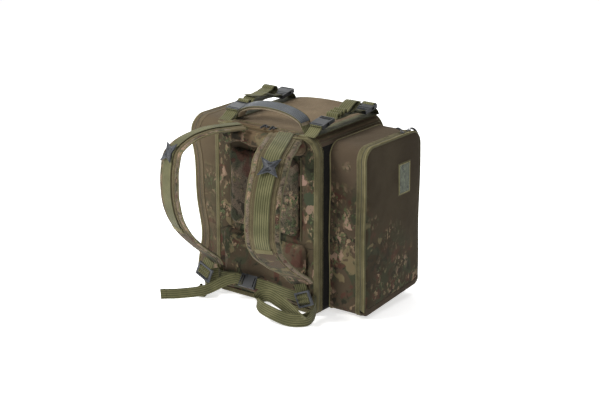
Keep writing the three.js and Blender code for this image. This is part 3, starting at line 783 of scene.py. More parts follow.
def flat_rings(outline_args, depths, sign, centre_z, puff, seed):
    """Rings for a flat cloth face: the edge in steps of (inset, y), then the face shrinking to its middle."""
    rings = [at_y(loop_outline(*outline_args, inset=i), y) for i, y in depths]
    edge = loop_outline(*outline_args, inset=depths[-1][0])
    middle = np.array([0.0, centre_z])
    for share in (0.97, 0.92, 0.85, 0.76, 0.66, 0.55, 0.44, 0.33, 0.22, 0.11):
        ring = middle + (edge - middle) * share
        points = at_y(ring, depths[-1][1])
        swell = puff * (1 - share**3)
        points[:, 1] += sign * (swell + 0.7 * ripples(points, 60, seed) * min(1, (1 - share) * 6))
        rings.append(points)
    return rings


front_rings = flat_rings(
    BODY, [(9, FRONT - 5), (4.5, FRONT - 5), (0.4, FRONT - 4), (0, FRONT - 2), (1.5, FRONT)], 1, 240, 0.2, 5
)
front_wall = rings_solid("front", [raised(r) for r in front_rings], CAMO)
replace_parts(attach(front_wall, "pack"), "front_panel")

edge_loop = loop_outline(*BODY, inset=1.2)
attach(cord_tube("front_piping", raised(at_y(edge_loop, FRONT - 1.4)), 2.6, BINDING, closed=True), "pack")

# Zip tape round the back edge, the coil that closes it and the seam where the side panels start.
tape_rows = [(-144.6, -0.2), (-142, 0.5), (-136.5, 0.7), (-134.2, 1.1), (-133.1, 0.2)]


def rim_strip(name, rows, material, first=0, last=3, thickness=3.0):
    outer = np.stack([at_y(corner_run(corners_of(*BODY, inset=-out), first, last), y) for y, out in rows])
    inner = np.stack([at_y(corner_run(corners_of(*BODY, inset=thickness), first, last), y) for y, _ in rows])
    return shell(name, outer, inner, material)


CAMO_YOKE = camo_cloth("camo_yoke", "5a4b38", offset=7.0)
UNDER_HANDLE = 118
tape = rim_strip("rear_tape", tape_rows, BINDING)
recolour(tape, CAMO_YOKE, lambda c: c[2] > 480 and abs(c[0]) < UNDER_HANDLE)
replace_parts(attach(tape, "pack"), "rear_zip_tape")
coil_run = corner_run(corners_of(*BODY, inset=0.6), 0, 3, arc=16, straight=60)
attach(cord_tube("rear_coil", at_y(coil_run, -145.6), 1.5, COIL), "pack")
for n, y in enumerate((-137.5, -131.4)):
    seam = corner_run(corners_of(*BODY, inset=-0.9), 0, 3, arc=16)
    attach(stitches(f"rear_tape_stitch_{n}", at_y(seam, y)), "pack")
roof_edge = corners_of(*BODY, inset=-0.4)
for side, sign in SIDES.items():
    cx, cz, radius, _ = roof_edge[1]
    for n, angle in enumerate((38, 52)):
        x = sign * (cx + radius * math.cos(math.radians(angle)))
        z = cz + radius * math.sin(math.radians(angle))
        line = [(x, y, z) for y in np.linspace(-130, 150, 60)]
        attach(cord_tube(f"{side}_roof_seam_{n}", line, 0.9, DARK_BINDING, sides=6), "pack")

# ---------------------------------------------------------------- rear door
DOOR = (HALF_WIDTH, 3.0, HEIGHT, TOP_RADIUS, BASE_RADIUS)
door_rings = flat_rings(
    DOOR, [(16, -145.4), (4, -145.4), (1, -146), (0.2, -150), (1, -153.5), (5, -154.6)], -1, 250, 0.5, 8
)
door_panel = rings_solid("door_panel", door_rings, camo_cloth(
    "camo_door", "4e4434", "40372a", offset=3.0,
    spots=(
        ((122, -155, 375), 17, "8d7466"), ((150, -155, 330), 22, "3a4030"), ((148, -155, 300), 12, "7d6a5a")
    ),
))
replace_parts(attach(door_panel, "rear_door"), "back_panel")
edge_rows = [
    (12, -154.4), (12, -155.9), (7, -156.4), (2.5, -156.3), (-0.5, -155), (-1.0, -151), (-0.8, -147),
    (0.8, -146.8), (0.8, -153), (3, -154.4)
]
edge_loops = [at_y(loop_outline(*DOOR, inset=i), y) for i, y in edge_rows]
edge_loops = np.swapaxes(np.array(edge_loops), 0, 1)
door_edge = turn_out(mesh_piece(
    "door_binding", edge_loops.reshape(-1, 3), tube_faces(
        edge_loops.shape[0], edge_loops.shape[1], closed_rows=True
    ), BINDING,
))
recolour(door_edge, CAMO_YOKE, lambda c: c[2] > 480 and abs(c[0]) < UNDER_HANDLE)
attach(door_edge, "rear_door")
for n, inset in enumerate((10.2, 4.0)):
    line = at_y(loop_outline(*DOOR, inset=inset), -156.4)
    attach(stitches(f"door_stitch_{n}", np.vstack([line, line[:1]])), "rear_door")
sheet_rings = [
    at_y(loop_outline(*BODY, inset=i), y) for i, y in ((15, -144.6), (14, -144.3), (14, -142.9), (15, -142.7))
]
stiffener = rings_solid("stiffener", sheet_rings, SHEET_PLASTIC)
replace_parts(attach(stiffener, "rear_door"), "frame_sheet")


# ---------------------------------------------------------------- padding, blown up by cloth simulation
def coordinates(mesh):
    co = np.zeros(len(mesh.vertices) * 3)
    mesh.vertices.foreach_get("co", co)
    return co.reshape(-1, 3)


def applied(obj):
    """Gives the object the mesh that its modifiers make, and returns that mesh."""
    graph = bpy.context.evaluated_depsgraph_get()
    mesh = bpy.data.meshes.new_from_object(obj.evaluated_get(graph))
    obj.modifiers.clear()
    obj.data = mesh
    return mesh


def remeshed(obj, voxel):
    modifier = obj.modifiers.new("Remesh", "REMESH")
    modifier.mode, modifier.voxel_size = "VOXEL", voxel * MM
    applied(obj)


def inflate(obj, cap, wall, pressure=4.0, last=20):
    """Swells a pad under pressure. No point moves further than cap, or past the plane y = wall, both in mm."""
    rest = coordinates(obj.data)
    cloth = obj.modifiers.new("Cloth", "CLOTH")
    cloth.settings.use_pressure = True
    cloth.settings.uniform_pressure_force = pressure
    cloth.settings.effector_weights.gravity = 0.0
    cloth.settings.quality = 4
    scene = bpy.context.scene
    for number in range(1, last + 1):
        scene.frame_set(number)
    graph = bpy.context.evaluated_depsgraph_get()
    moved = coordinates(obj.evaluated_get(graph).data)
    obj.modifiers.clear()
    scene.frame_set(1)
    shift = moved - rest
    size = np.linalg.norm(shift, axis=1, keepdims=True)
    done = rest + shift * np.minimum(1, cap * MM / np.maximum(size, 1e-9))
    done[:, 1] = np.minimum(done[:, 1], wall * MM)
    obj.data.vertices.foreach_set("co", done.ravel())


def smooth_mesh(obj, levels=1):
    modifier = obj.modifiers.new("Subdivision", "SUBSURF")
    modifier.levels = modifier.render_levels = levels
    mesh = applied(obj)
    mesh.polygons.foreach_set("use_smooth", [True] * len(mesh.polygons))


def cushion(name, node, outline, depth, material, grooves, edge=None, cap=7.0):
    """A padded panel on the door: a block of foam, swollen, with its sewn channels pressed in afterwards."""
    half, z0, z1, radius = outline
    wall = REAR - 0.5
    insets = [(3, 0), (0, 3), (0, depth * 0.55), (4, depth - 3), (10, depth)]
    rings = [
        at_y(loop_outline(half - 2, z0 + 2, z1 - 2, radius, radius, inset=i, straight=30), wall - d) for i,
        d in insets
    ]
    if edge is not None:
        rings = [edge(r) for r in rings]
    obj = rings_solid(name, rings, material)
    remeshed(obj, 5.0)
    inflate(obj, cap, wall)
    smooth_mesh(obj)
    obj.data.materials.clear()
    obj.data.materials.append(material)
    co = coordinates(obj.data) / MM
    outness = np.clip((wall - co[:, 1]) / depth, 0, 1)
    for deep, wide, distance in grooves:
        co[:, 1] += outness * deep * np.exp(-((distance(co) / wide) ** 2))
    co[:, 1] = np.maximum(co[:, 1] - outness * 0.8 * ripples(co, 38, name), wall - depth - 4.5)
    obj.data.vertices.foreach_set("co", (co * MM).ravel())
    obj.data.update()
    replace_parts(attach(obj, "rear_door"), node)
    return obj


def line_x(x):
    return lambda co: np.abs(co[:, 0]) - x


def line_z(z):
    return lambda co: co[:, 2] - z


cushion(
    "mesh_pad", "centre_mesh_pad", (125, 208, 440, 24), 13, MESH,
    [
        (5, 5, line_x(0)), (3, 3, line_x(62)),
        (3, 3, lambda co: np.maximum(np.abs(co[:, 2] - 325), 0) + 8 * (np.abs(co[:, 0]) < 62))
    ],
)
cushion(
    "lumbar", "lumbar_pad", (150, 14, 204, 22), 14,
    camo_cloth(
        "camo_lumbar", "564a3a", offset=5.0,
        spots=(((60, -177, 40), 26, "8f7b66"), ((20, -177, 60), 20, "9a856c"))
    ),
    [(3, 3, line_x(60)), (4, 3, line_z(190)), (3, 3, line_x(0))],
)


def wavy(ring):
    low = ring[:, 2] < 470
    ring[low, 2] += 4.5 * np.sin(ring[low, 0] / 17.0) - 3
    return ring


cushion(
    "yoke", "shoulder_yoke", (143, 446, 496, 20), 22, CAMO_YOKE,
    [(4, 4, line_z(484))], wavy,
)
for sign in (1, -1):
    line = [(sign * 121, -155.2 - 1.6, z) for z in np.linspace(206, 440, 60)]
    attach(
        cord_tube(f"door_channel_{'right' if sign > 0 else 'left'}", line, 1.4, DARK_BINDING, sides=6),
        "rear_door"
    )
for side, sign in SIDES.items():
    binding_path = even(
        [(sign * 152, -168, 498), (sign * 120, -180, 499), (sign * 84, -181, 498), (sign * 70, -174, 499)], 40
    )
    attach(cord_tube(f"{side}_yoke_binding", binding_path, 2.4, BINDING), "rear_door")

# ---------------------------------------------------------------- pockets
def local_to(where):
    """Moves points (along, depth, z) of a pocket to its place: on the right, the left or the front."""
    def move(points):
        a, d, z = points[..., 0], points[..., 1], points[..., 2]
        if where == "right":
            share = np.clip((130 - a) / 260, 0, 1) * np.clip(1 - (z - 6) / 170, 0, 1) ** 1.5
            return np.stack(
                [HALF_WIDTH + d, POCKET_Y - a + 2.0 * np.sin(z / 47), z + 24 * share * np.clip(d / 60, 0, 1)],
                -1
            )
        if where == "left":
            slack = 14 * np.exp(-(((z - 424) / 50) ** 2)) - 19 * np.exp(-(((z - 135) / 75) ** 2))
            return np.stack([-HALF_WIDTH - d - slack * np.clip(d / 90, 0, 1), POCKET_Y + a, z], -1)
        return np.stack([a, FRONT + d, z], -1)
    return move


def face_swell(a, z, p, amount):
    """How far a pocket's face stands proud: most a little below its middle."""
    u = np.clip(a / p["half"], -1, 1)
    v = np.clip((z - p["z0"]) / (p["z1"] - p["z0"]) * 2 - 1, -1, 1)
    dome = (np.clip(1 - u**2, 0, 1) * np.clip(1 - v**2, 0, 1)) ** 0.55
    folds = 0.9 * np.sin(a / 47 + z / 90) + 0.7 * np.sin(z / 38 - a / 80 + 1)
    return dome * (amount * (1 - 0.25 * v) + folds * 0.9)


def make_pocket(side, p, face_material, gusset_material, seed, swell=4.5, binding=BINDING):
    name = f"{side}_pocket"
    move = local_to(side)
    args = (p["half"], p["z0"], p["z1"], p["top"], p["base"])
    line = p["reach"] - COVER_DEPTH
    tape_at = line - 15
    rows = np.linspace(0.4, tape_at, 16)
    middle = np.array([0.0, (p["z0"] + p["z1"]) / 2])

    def bulge(ring, d):
        """The gusset's slack: a shallow, uneven swell between its seams, fading out towards the foot."""
        share = np.sin(math.pi * np.clip(d / tape_at, 0, 1))
        out = unit(ring - middle)
        wave = ripples(np.stack([ring[:, 0], np.full(len(ring), d), ring[:, 1]], 1), 75, seed)
        upright = np.clip((ring[:, 1] - p["z0"]) / 40, 0, 1)
        return ring + out * (share * (1.2 + 2.0 * wave) * upright)[:, None]

    outer = np.stack([at_y(bulge(loop_outline(*args), d), d) for d in rows])
    inner = np.stack([at_y(bulge(loop_outline(*args, inset=3.0), d), d) for d in rows])
    gusset = shell(
        f"{name}_gusset_cloth", move(outer), move(inner), [gusset_material, LINING], closed=True, slots=True
    )
    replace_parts(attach(gusset, "pack"), f"{name}_gusset")

    def ring_band(piece_name, rows_of, material, body, outline_args=args, thick=2.6):
        out = np.stack([at_y(loop_outline(*outline_args, inset=-o), d) for d, o in rows_of])
        ins = np.stack([at_y(loop_outline(*outline_args, inset=thick), d) for d, _ in rows_of])
        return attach(shell(piece_name, move(out), move(ins), material, closed=True), body)

    tape_rows_near = [
        (tape_at - 1, 0.4), (tape_at + 0.5, 1.5), (tape_at + 3, 1.2), (line - 3.5, 0.9), (line - 1.6, 0.1)
    ]
    ring_band(f"{name}_tape", tape_rows_near, binding, "pack")
    root = move(at_y(loop_outline(*args, inset=-0.6), 2.4))
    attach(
        cord_tube(f"{name}_root_piping", root, 1.7, PALE_BINDING if side == "right" else binding, closed=True),
        "pack"
    )
    coil = at_y(loop_outline(*args, inset=0.5, arc=16, straight=90), line - 0.6)
    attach(cord_tube(f"{name}_coil", move(np.vstack([coil, coil[:1]])), 1.5, COIL), "pack")
    for n, d in enumerate((tape_at + 1.6, line - 4.2)):
        path = move(at_y(loop_outline(*args, inset=-1.5), d))
        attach(stitches(f"{name}_stitch_{n}", np.vstack([path, path[:1]])), "pack")

    body = f"{side}_cover"
    lift = 14.0
    cover = (p["half"], p["z0"] + lift, p["z1"], p["top"], 9.0)
    edge = p["reach"]
    cover_rows = [(line + 0.6, 0.2), (line + 2.5, 0.9), (line + 8.5, 1.0), (line + 9.5, 0.2), (edge - 5, -0.2)]
    lining = loop_outline(*cover, inset=4.0)
    within = [at_y(middle + (lining - middle) * share, edge - 4.5) for share in LINING_SHARES]
    rings = within + [at_y(lining, d) for d in (edge - 4.5, line + 0.7)]
    rings += [at_y(loop_outline(*cover, inset=-o), d) for d, o in cover_rows]
    rings += [
        at_y(loop_outline(*cover, inset=i), d) for i,
        d in ((0.6, edge - 2.5), (2.6, edge - 1.0), (6, edge - 0.5))
    ]
    outline = loop_outline(*cover, inset=6)
    for share in (0.97, 0.93, 0.88, 0.82, 0.75, 0.67, 0.58, 0.48, 0.38, 0.27, 0.16, 0.06):
        ring = middle + (outline - middle) * share
        depth = edge - 0.5 + face_swell(ring[:, 0], ring[:, 1], p, swell)
        rings.append(at_y(ring, depth))
    count = len(rings)
    slots = [2] * (len(within) + 1) + [0] + [1] * 3 + [0] * (count - len(within) - 6)
    cover_piece = rings_solid(
        f"{name}_cover_cloth", move(np.array(rings)), [face_material, binding, LINING], slots
    )
    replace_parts(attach(cover_piece, body), f"{name}_cover")
    for n, (inset, depth, radius, material) in enumerate(
        ((-0.8, edge - 5.2, 2.3, PALE_BINDING), (0.8, edge - 1.6, 1.5, DARK_BINDING))
    ):
        path = move(at_y(loop_outline(*cover, inset=inset), depth))
        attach(cord_tube(f"{name}_piping_{n}", path, radius, material, closed=True), body)

    # The hem that the cover folds on, across the foot of the pocket.
    half, z0, base = p["half"], p["z0"], p["base"]
    a = np.linspace(-half + 1.0, half - 1.0, 70)
    past = np.clip(np.abs(a) - (half - base), 0, base - 0.5)
    foot = z0 + base - np.sqrt(base**2 - past**2)
    profile = [
        (line - 2, 0.0), (line + 6, 0.0), (edge - 4, 0.4), (edge - 1, 2.2), (edge + 0.6, 6), (edge + 0.9, 11),
        (edge + 0.9, 17), (edge + 0.8, 21)
    ]
    outer = np.stack([np.stack([a, np.full_like(a, d), foot + h], 1) for d, h in profile])
    inner = np.stack(
        [np.stack([a, np.full_like(a, d - 1.6 * (h > 0.3)), foot + h + 1.6 * (h < 3)], 1) for d, h in profile]
    )
    hem = shell(f"{name}_hem", move(outer), move(inner), DARK_CLOTH)
    start, end = move(np.array([[0.0, line, z0 + 8.0], [0.0, line, z0 + 17.0]])) * MM
    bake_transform(hem)
    return move, p


LEFT_TRIM = plain_cloth("left_trim", "5c5140", "4d4334", "6a5e4a")
SIDE_FACES = {
    "right": SHADED_CAMO_FACE,
    "left": camo_cloth("camo_face_left", "4a4031", fade=falling(150, 300, -0.8, 20, 2.0), offset=9.0)
}
for side in SIDES:
    make_pocket(side, SIDE_POCKET, SIDE_FACES[side], camo_cloth(
        f"camo_gusset_{side}", "4a3f32" if side == "right" else "554a39",
        amount=1.0 if side == "right" else 0.5, fade=falling(300, 400, 0.0, 0.0, 1.0),
        offset=2.5 if side == "right" else 11.0,
    ), 21 if side == "right" else 33, binding=BINDING if side == "right" else LEFT_TRIM)
make_pocket("front", FRONT_POCKET, CAMO, CAMO_SIDE, 47, 4.0)

# Label patch on the right pocket's face.
patch_half, patch_tall, patch_y, patch_z = 26.0, 42.0, 74.0, 360.0


def patch_grid(grow, lift, count=18):
    a = np.linspace(-patch_half - grow, patch_half + grow, count)
    b = np.linspace(-patch_tall - grow, patch_tall + grow, count)
    aa, bb = np.meshgrid(a, b)
    y, z = patch_y + aa, patch_z + bb
    depth = SIDE_POCKET["reach"] - 0.5 + face_swell(POCKET_Y - y, z, SIDE_POCKET, 4.5)
    edge = np.maximum(np.abs(aa) / (patch_half + grow), np.abs(bb) / (patch_tall + grow))
    x = HALF_WIDTH + depth + lift - 0.6 * (edge > 0.98)
    return np.stack([x, y, z], -1)


backing = shell("label_backing", patch_grid(3.0, 1.0), patch_grid(3.0, -0.6), DARK_BINDING)
label = shell("label", patch_grid(-1.0, 1.9), patch_grid(-1.0, 0.9), PATCH)
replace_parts(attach(label, "right_cover"), "label_patch")
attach(backing, "right_cover")
rim = patch_grid(-1.0, 2.0, 24)
border = np.vstack([rim[0], rim[1:, -1], rim[-1, ::-1][1:], rim[::-1, 0][1:-1]])
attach(cord_tube("label_border", border, 1.1, THREAD, closed=True, sides=6), "right_cover")

# ---------------------------------------------------------------- grab handle
HANDLE_Y, HANDLE_HALF, HANDLE_BASE, HANDLE_RISE, LEAN = -121.0, 112.0, 13.0, 43.0, 0.23
arch = []
for i in range(9):
    angle = math.pi * i / 8
    arch.append(
        (-HANDLE_HALF * math.cos(angle), HANDLE_Y, HEIGHT + HANDLE_BASE + HANDLE_RISE * math.sin(angle) ** 0.9)
    )
handle_centres = even(arch, 61)
_, handle_side, handle_face = frames(handle_centres, [(0, 1, LEAN)] * 2)


def rounded_profile(width, low, high, steps=8, power=0.5):
    """A pillow-shaped outline: (across, out), from the low face to the high face."""
    u = np.linspace(-1, 1, steps * 2 + 1)
    crown = (1 - u**2) ** power
    mid = (low + high) / 2
    top = np.stack([u * width / 2, mid + (high - mid) * crown], 1)
    bottom = np.stack([u[::-1][1:-1] * width / 2, mid - (mid - low) * crown[1:-1]], 1)
    return np.vstack([top, bottom])


handle_profiles = []
for t in np.linspace(0, 1, 61):
    full = min(1.0, 0.62 + 3.2 * min(t, 1 - t))
    handle_profiles.append(rounded_profile(35 * (0.9 + 0.1 * full), -11 * full, 1.2, power=0.35))
handle = sweep(
    "handle_lining", handle_centres, handle_side, handle_face, handle_profiles,
    plain_cloth("handle_under", "a99a84", "857862", "bdae97", crease=0.2)
)
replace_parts(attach(turn_out(handle), "handle"), "grab_handle")
grip_centres = even(arch, 61, 0.06, 0.94)
_, grip_side, grip_face = frames(grip_centres, [(0, 1, LEAN)] * 2)
grip_u = np.linspace(-1, 1, 41)
grip_top = np.stack(
    [grip_u * 17.6, 1.9 + 1.6 * (1 - grip_u**2) ** 0.6 + 0.28 * np.cos(grip_u * 8.5 * math.pi)], 1
)
grip_low = np.stack([grip_u[::-1] * 17.6, np.full(41, 0.4)], 1)
grip = sweep("handle_cover", grip_centres, grip_side, grip_face, [np.vstack([grip_top, grip_low])] * 61, GRIP)
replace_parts(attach(turn_out(grip), "handle"), "handle_grip")
for n, edge in enumerate((-1, 1)):
    path = even(arch, 80, 0.015, 0.985)
    _, side_v, face_v = frames(path, [(0, 1, LEAN)] * 2)
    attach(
        cord_tube(f"handle_piping_{n}", path + side_v * edge * 17.6 + face_v * 0.9, 1.9, DARK_BINDING), "handle"
    )
for side, sign in SIDES.items():
    foot = [
        (sign * 119, HANDLE_Y, 502.6), (sign * 117, HANDLE_Y, 507), (sign * 113, HANDLE_Y, 513),
        (sign * 110, HANDLE_Y, 520)
    ]
    base = ribbon(f"{side}_handle_base", foot, [(0, 1, 0.1)], 38, 16, 3.0)
    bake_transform(base)
    patch = np.array(
        [[(sign * x, y, 501.6) for y in np.linspace(-142, -99, 12)] for x in np.linspace(100, 136, 10)]
    )
    low = patch.copy()
    low[..., 2] = 500.2
    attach(shell(f"{side}_handle_patch", patch, low, CLOTH), "pack")
    box = [
        (sign * 103, -139, 502), (sign * 133, -139, 502), (sign * 133, -102, 502), (sign * 103, -102, 502),
        (sign * 103, -139, 502)
    ]
    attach(stitches(f"{side}_handle_stitch", box), "pack")

# ---------------------------------------------------------------- top straps
TOP_X = 143.0
ACROSS = [(1, 0, 0), (1, 0, 0)]


def spiral(y, z, turns, radius, start=0.0, pitch=2.4, squeeze=0.8):
    """A rolled end of webbing, seen from the side, as (y, z) points from the outside in."""
    count = int(turns * 14)
    points = []
    for i in range(count + 1):
        angle = start + 2 * math.pi * i / 14
        r = radius - pitch * i / 14
        points.append((y + r * math.cos(angle), z + r * math.sin(angle) * squeeze))
    return points


def strip_at(name, x, points, width=38, steps=None, twist=0.0, thickness=1.9, body="pack"):
    route = [(x + twist * n / max(1, len(points) - 1), y, z) for n, (y, z) in enumerate(points)]
    made = ribbon(name, route, ACROSS, width, steps or len(points) * 4, thickness)
    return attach(turn_out(made), body)


for side, sign in SIDES.items():
    x = sign * TOP_X
    base = strip_at(
        f"{side}_top_base", x, [(-148, 501.6), (-100, 502), (0, 502.2), (100, 502), (149, 501.4)], steps=40
    )
    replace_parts(base, f"{side}_top_strap_base")
    strip_at(
        f"{side}_near_tab", x,
        [(-153, 499.8), (-146, 502.5), (-137, 506.5), (-128, 512.5), (-119, 518.5), (-114, 521)], steps=24
    )
    strip_at(f"{side}_far_tab", x, [(152, 500.4), (148, 503), (144, 510), (138, 517), (133, 520)], steps=20)
    strip_at(
        f"{side}_near_fold", x, [(-119, 514.5), (-114.5, 519), (-116.5, 524.5), (-122, 522)], steps=16,
        thickness=1.6
    )
    strip_at(f"{side}_near_lead", x, [(-64, 529), (-54, 531), (-44, 531), (-30, 529)], steps=14)
    strip_at(f"{side}_far_lead", x, [(46, 528.5), (62, 528), (74, 526.5), (84, 524)], steps=14)
    run = strip_at(
        f"{side}_top_run", x, [(-50, 528), (-20, 527), (10, 528.5), (38, 527), (66, 524.5)], steps=36
    )
    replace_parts(run, f"{side}_top_webbing")

folds = [
    (-50, 531), (-45, 541), (-40, 543), (-37, 533), (-33, 532), (-28, 544), (-24, 545), (-20, 534), (-16, 533),
    (-10, 546), (-5, 546.5), (0, 536), (8, 540), (24, 549), (40, 556), (50, 557), (60, 552), (70, 543)
]
strip_at("right_top_folds", TOP_X, folds, steps=110, twist=-4)
strip_at("right_top_tip", TOP_X + 1, [(18, 533), (34, 540), (50, 549), (60, 555)], steps=20)
strip_at(
    "right_top_end", TOP_X, [(118, 530), (124, 536), (134, 534), (138, 527), (132, 522), (124, 521)], steps=30
)
strip_at(
    "left_top_folds", -TOP_X, [(-52, 531), (-44, 540), (-30, 543), (-14, 541), (6, 543), (24, 548), (40, 551)],
    steps=60
)
strip_at(
    "left_top_tip", -TOP_X - 4, [(-46, 547), (-32, 545), (-12, 543), (4, 546), (14, 545)], steps=40, twist=10
)
strip_at("left_top_roll", -TOP_X, spiral(48, 547, 2.6, 15, math.pi), steps=110)
strip_at("left_near_roll", -TOP_X, spiral(-66, 536, 1.6, 8, math.pi), steps=60)

# ---------------------------------------------------------------- shoulder straps
def strap_frames(sign, count, start, end):
    route = [(sign * x, y, z) for x, y, z in STRAP_ROUTE]
    across = [
        (1, sign * SPLAY * 0.6, -sign * ROLL * 0.4), (1, sign * SPLAY, -sign * ROLL),
        (1, sign * SPLAY, 0), (1, sign * SPLAY * 0.5, 0),
    ]
    centres = even(route, count, start, end)
    return (centres, *frames(centres, across, start, end))


def pad_profile(half):
    """Across the strap's pad: a crowned face with a seam each side, and a full, softer underside."""
    u = np.linspace(-1, 1, 33)
    seam = np.exp(-(((np.abs(u) - 0.7) / 0.045) ** 2))
    crown = (1 - np.abs(u) ** 3.2) ** 0.5
    top = -6.5 + 6.0 * crown - 2.0 * seam
    under = -6.5 - 7.2 * (1 - np.abs(u[1:-1]) ** 3) ** 0.5
    upper = np.stack([u * half, top], 1)
    lower = np.stack([u[::-1][1:-1] * half, under[::-1]], 1)
    return np.vstack([upper, lower])


STRAP_MATERIALS = [
    STRAP_CLOTH,
    camo_cloth("camo_strap_edge", "75685a", "5a4f40", amount=0.9, offset=13.0, mesh=True, busy=0.08),
    camo_cloth("camo_strap_foot", "4c4034", "3a3a2c", amount=0.8, offset=14.0)
]
for side, sign in SIDES.items():
    rows = 150
    start = ROOT_AT * 0.35
    centres, along, side_v, face_v = strap_frames(sign, rows, start, 1.0)
    shares = np.linspace(start, 1.0, rows)
    halves = 47.5 * (1 - 0.15 * np.clip(4 * shares - 3, 0, 1)) * (1 + 0.012 * np.sin(shares * 60))
    profiles = np.array([pad_profile(h) for h in halves])
    pucker = 0.5 * np.sin(shares * 190)[:, None] * np.exp(
        -(((np.abs(profiles[:, :, 0]) / halves[:, None]) - 0.7) / 0.12) ** 2
    )
    profiles[:, :, 1] += pucker
    pad = sweep(f"{side}_strap_padding", centres, side_v, face_v, profiles, STRAP_MATERIALS)
    ring = profiles.shape[1]
    index = []
    for n in range((rows - 1) * ring):
        row, k = divmod(n, ring)
        on_face = 4 <= k < 28
        index.append(2 if on_face and shares[row] > SEAM_AT + 0.012 else 0 if on_face else 1)
    pad.data.polygons.foreach_set("material_index", index + [1, 1])
    turn_out(pad)
    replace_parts(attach(pad, f"{side}_strap"), f"{side}_strap_pad")

    # The strap's root, from inside the yoke to just inside the padding.
    back = np.linspace(ROOT_REACH, -ROOT_OVERLAP, 14)
    root_path = centres[0] - along[0] * back[:, None]
    wide_v, out_v = np.repeat(side_v[:1], len(back), 0), np.repeat(face_v[:1], len(back), 0)
    root_rows = [profiles[0] * ROOT_TUCK] * len(back)
    root = turn_out(sweep(f"{side}_strap_root", root_path, wide_v, out_v, root_rows, STRAP_CLOTH))
    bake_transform(root)
    band = [ribbon_profile(42, 2.4, 7, 0.45) + [0, 2.0]] * len(back)
    root_web = turn_out(sweep(f"{side}_root_webbing", root_path, wide_v, out_v, band, WEBBING[42], uv_width=42))
    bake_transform(root_web)
    for n, u in enumerate((-1, 1)):
        edge = centres + side_v * (u * halves)[:, None] + face_v * -6.5
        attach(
            cord_tube(f"{side}_strap_edge_{n}", edge, 1.9, BINDING if u * sign < 0 else DARK_BINDING),
            f"{side}_strap"
        )
        seam = centres + side_v * (u * halves * 0.63)[:, None] + face_v * -0.9
        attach(stitches(f"{side}_strap_stitch_{n}", seam), f"{side}_strap")

    c, _, s_v, f_v = strap_frames(sign, 121, ROOT_AT * 0.4, SEAM_AT)
    flat = ribbon_profile(42, 2.4, 7, 0.45) + [0, 2.0]
    web = sweep(f"{side}_shoulder_webbing", c, s_v, f_v, [flat] * len(c), WEBBING[42], uv_width=42)
    turn_out(web)
    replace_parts(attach(web, f"{side}_strap"), f"{side}_strap_webbing")
    c, _, s_v, f_v = strap_frames(sign, 8, SEAM_AT - 0.008, SEAM_AT + 0.018)
    patch = [np.array([(-24, 0.6), (24, 0.6), (24, 3.6), (-24, 3.6)])] * 8
    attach(turn_out(sweep(f"{side}_webbing_end", c, s_v, f_v, patch, BINDING)), f"{side}_strap")
    for n, at in enumerate((SEAM_AT - 0.003, SEAM_AT + 0.012)):
        c, _, s_v, f_v = strap_frames(sign, 2, at, at + 0.001)
        line = np.array([c[0] + s_v[0] * u + f_v[0] * 3.9 for u in np.linspace(-22, 22, 20)])
        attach(stitches(f"{side}_webbing_bar_{n}", line, pitch=3.0, length=2.2, radius=0.6), f"{side}_strap")

    # Star-shaped adjuster.
    c, al, s_v, f_v = strap_frames(sign, 3, STAR_AT[side] - 0.004, STAR_AT[side] + 0.004)
    centre, down, wide, out = c[1], al[1], s_v[1], f_v[1]
    angles = np.linspace(0, 2 * math.pi, 96, endpoint=False)
    off_tip = np.abs(angles % (math.pi / 2) - math.pi / 4)
    waist, tip = 14.5, 38.0
    reach = tip * waist * math.sin(math.pi / 4) / (
        tip * np.sin(off_tip) + waist * np.sin(math.pi / 4 - off_tip)
    )

    def star_ring(scale, height, ridge=0.0):
        radius = reach * scale
        lift_by = height + ridge * np.abs(np.cos(2 * (angles - math.pi / 4))) ** 6
        flat = wide * (np.cos(angles) * radius)[:, None] + down * (np.sin(angles) * radius)[:, None]
        return centre + flat + out * (4.4 + lift_by)[:, None]

    star_rows = [
        star_ring(0.9, 0), star_ring(1.0, 0.7), star_ring(1.0, 3.4), star_ring(0.93, 4.6), star_ring(0.84, 3.6),
        star_ring(0.62, 3.6, 2.2), star_ring(0.35, 4.2, 2.6), star_ring(0.12, 5.6, 0.6)
    ]
    star = rings_solid(f"{side}_star", star_rows, GREY_PLASTIC, sharp=28)
    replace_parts(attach(star, f"{side}_strap"), f"{side}_star_adjuster")
    for n, shift in enumerate((-9.5, 9.5)):
        bar = [centre + wide * u + down * shift + out * 8.3 for u in np.linspace(-15, 15, 12)]
        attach(cord_tube(f"{side}_star_bar_{n}", bar, [1.2] + [2.2] * 10 + [1.2], PLASTIC), f"{side}_strap")

    # Ladder lock, the webbing threaded through it and the tab that hangs it from the pad.
    lock = f"{side}_ladder_lock"
    bevelled(lock, 1.1, 3, GREY_PLASTIC)
    tilt = math.radians(LOCK_TILT * sign)

    def on_lock(u, d, z):
        """A point on the lock: across, out of its face and up from its top edge."""
        across = sign * LOCK_X + u * math.cos(tilt) - z * math.sin(tilt)
        return (across, LOCK_Y - d, LOCK_TOP + z * math.cos(tilt) + u * math.sin(tilt))

    weave_z = [4, -2.5, -8.5, -14.5, -21, -27.5, -33.5, -39, -44]
    weave_d = [-2, -3.4, 3.0, 7.6, 3.0, 7.4, 3.0, -1.5, -3.0]
    thread = [on_lock(0, d, z) for z, d in zip(weave_z, weave_d)]
    threaded = ribbon(f"{side}_lock_webbing", thread, [(math.cos(tilt), 0, math.sin(tilt))], 38, 60, 2.0)
    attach(turn_out(threaded), f"{side}_lock")
    hang = [(157, -210, 108), (159, -210, 102), (162, -210, 95), (165, -212, 88), (166.5, -214, 84)]
    hang = [(sign * x, y, z) for x, y, z in hang]
    tab = ribbon(
        f"{side}_lock_tab", hang, [(1, sign * 0.16, 0), (math.cos(tilt), 0, math.sin(tilt))], 38, 16, 3.2
    )
    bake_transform(tab)

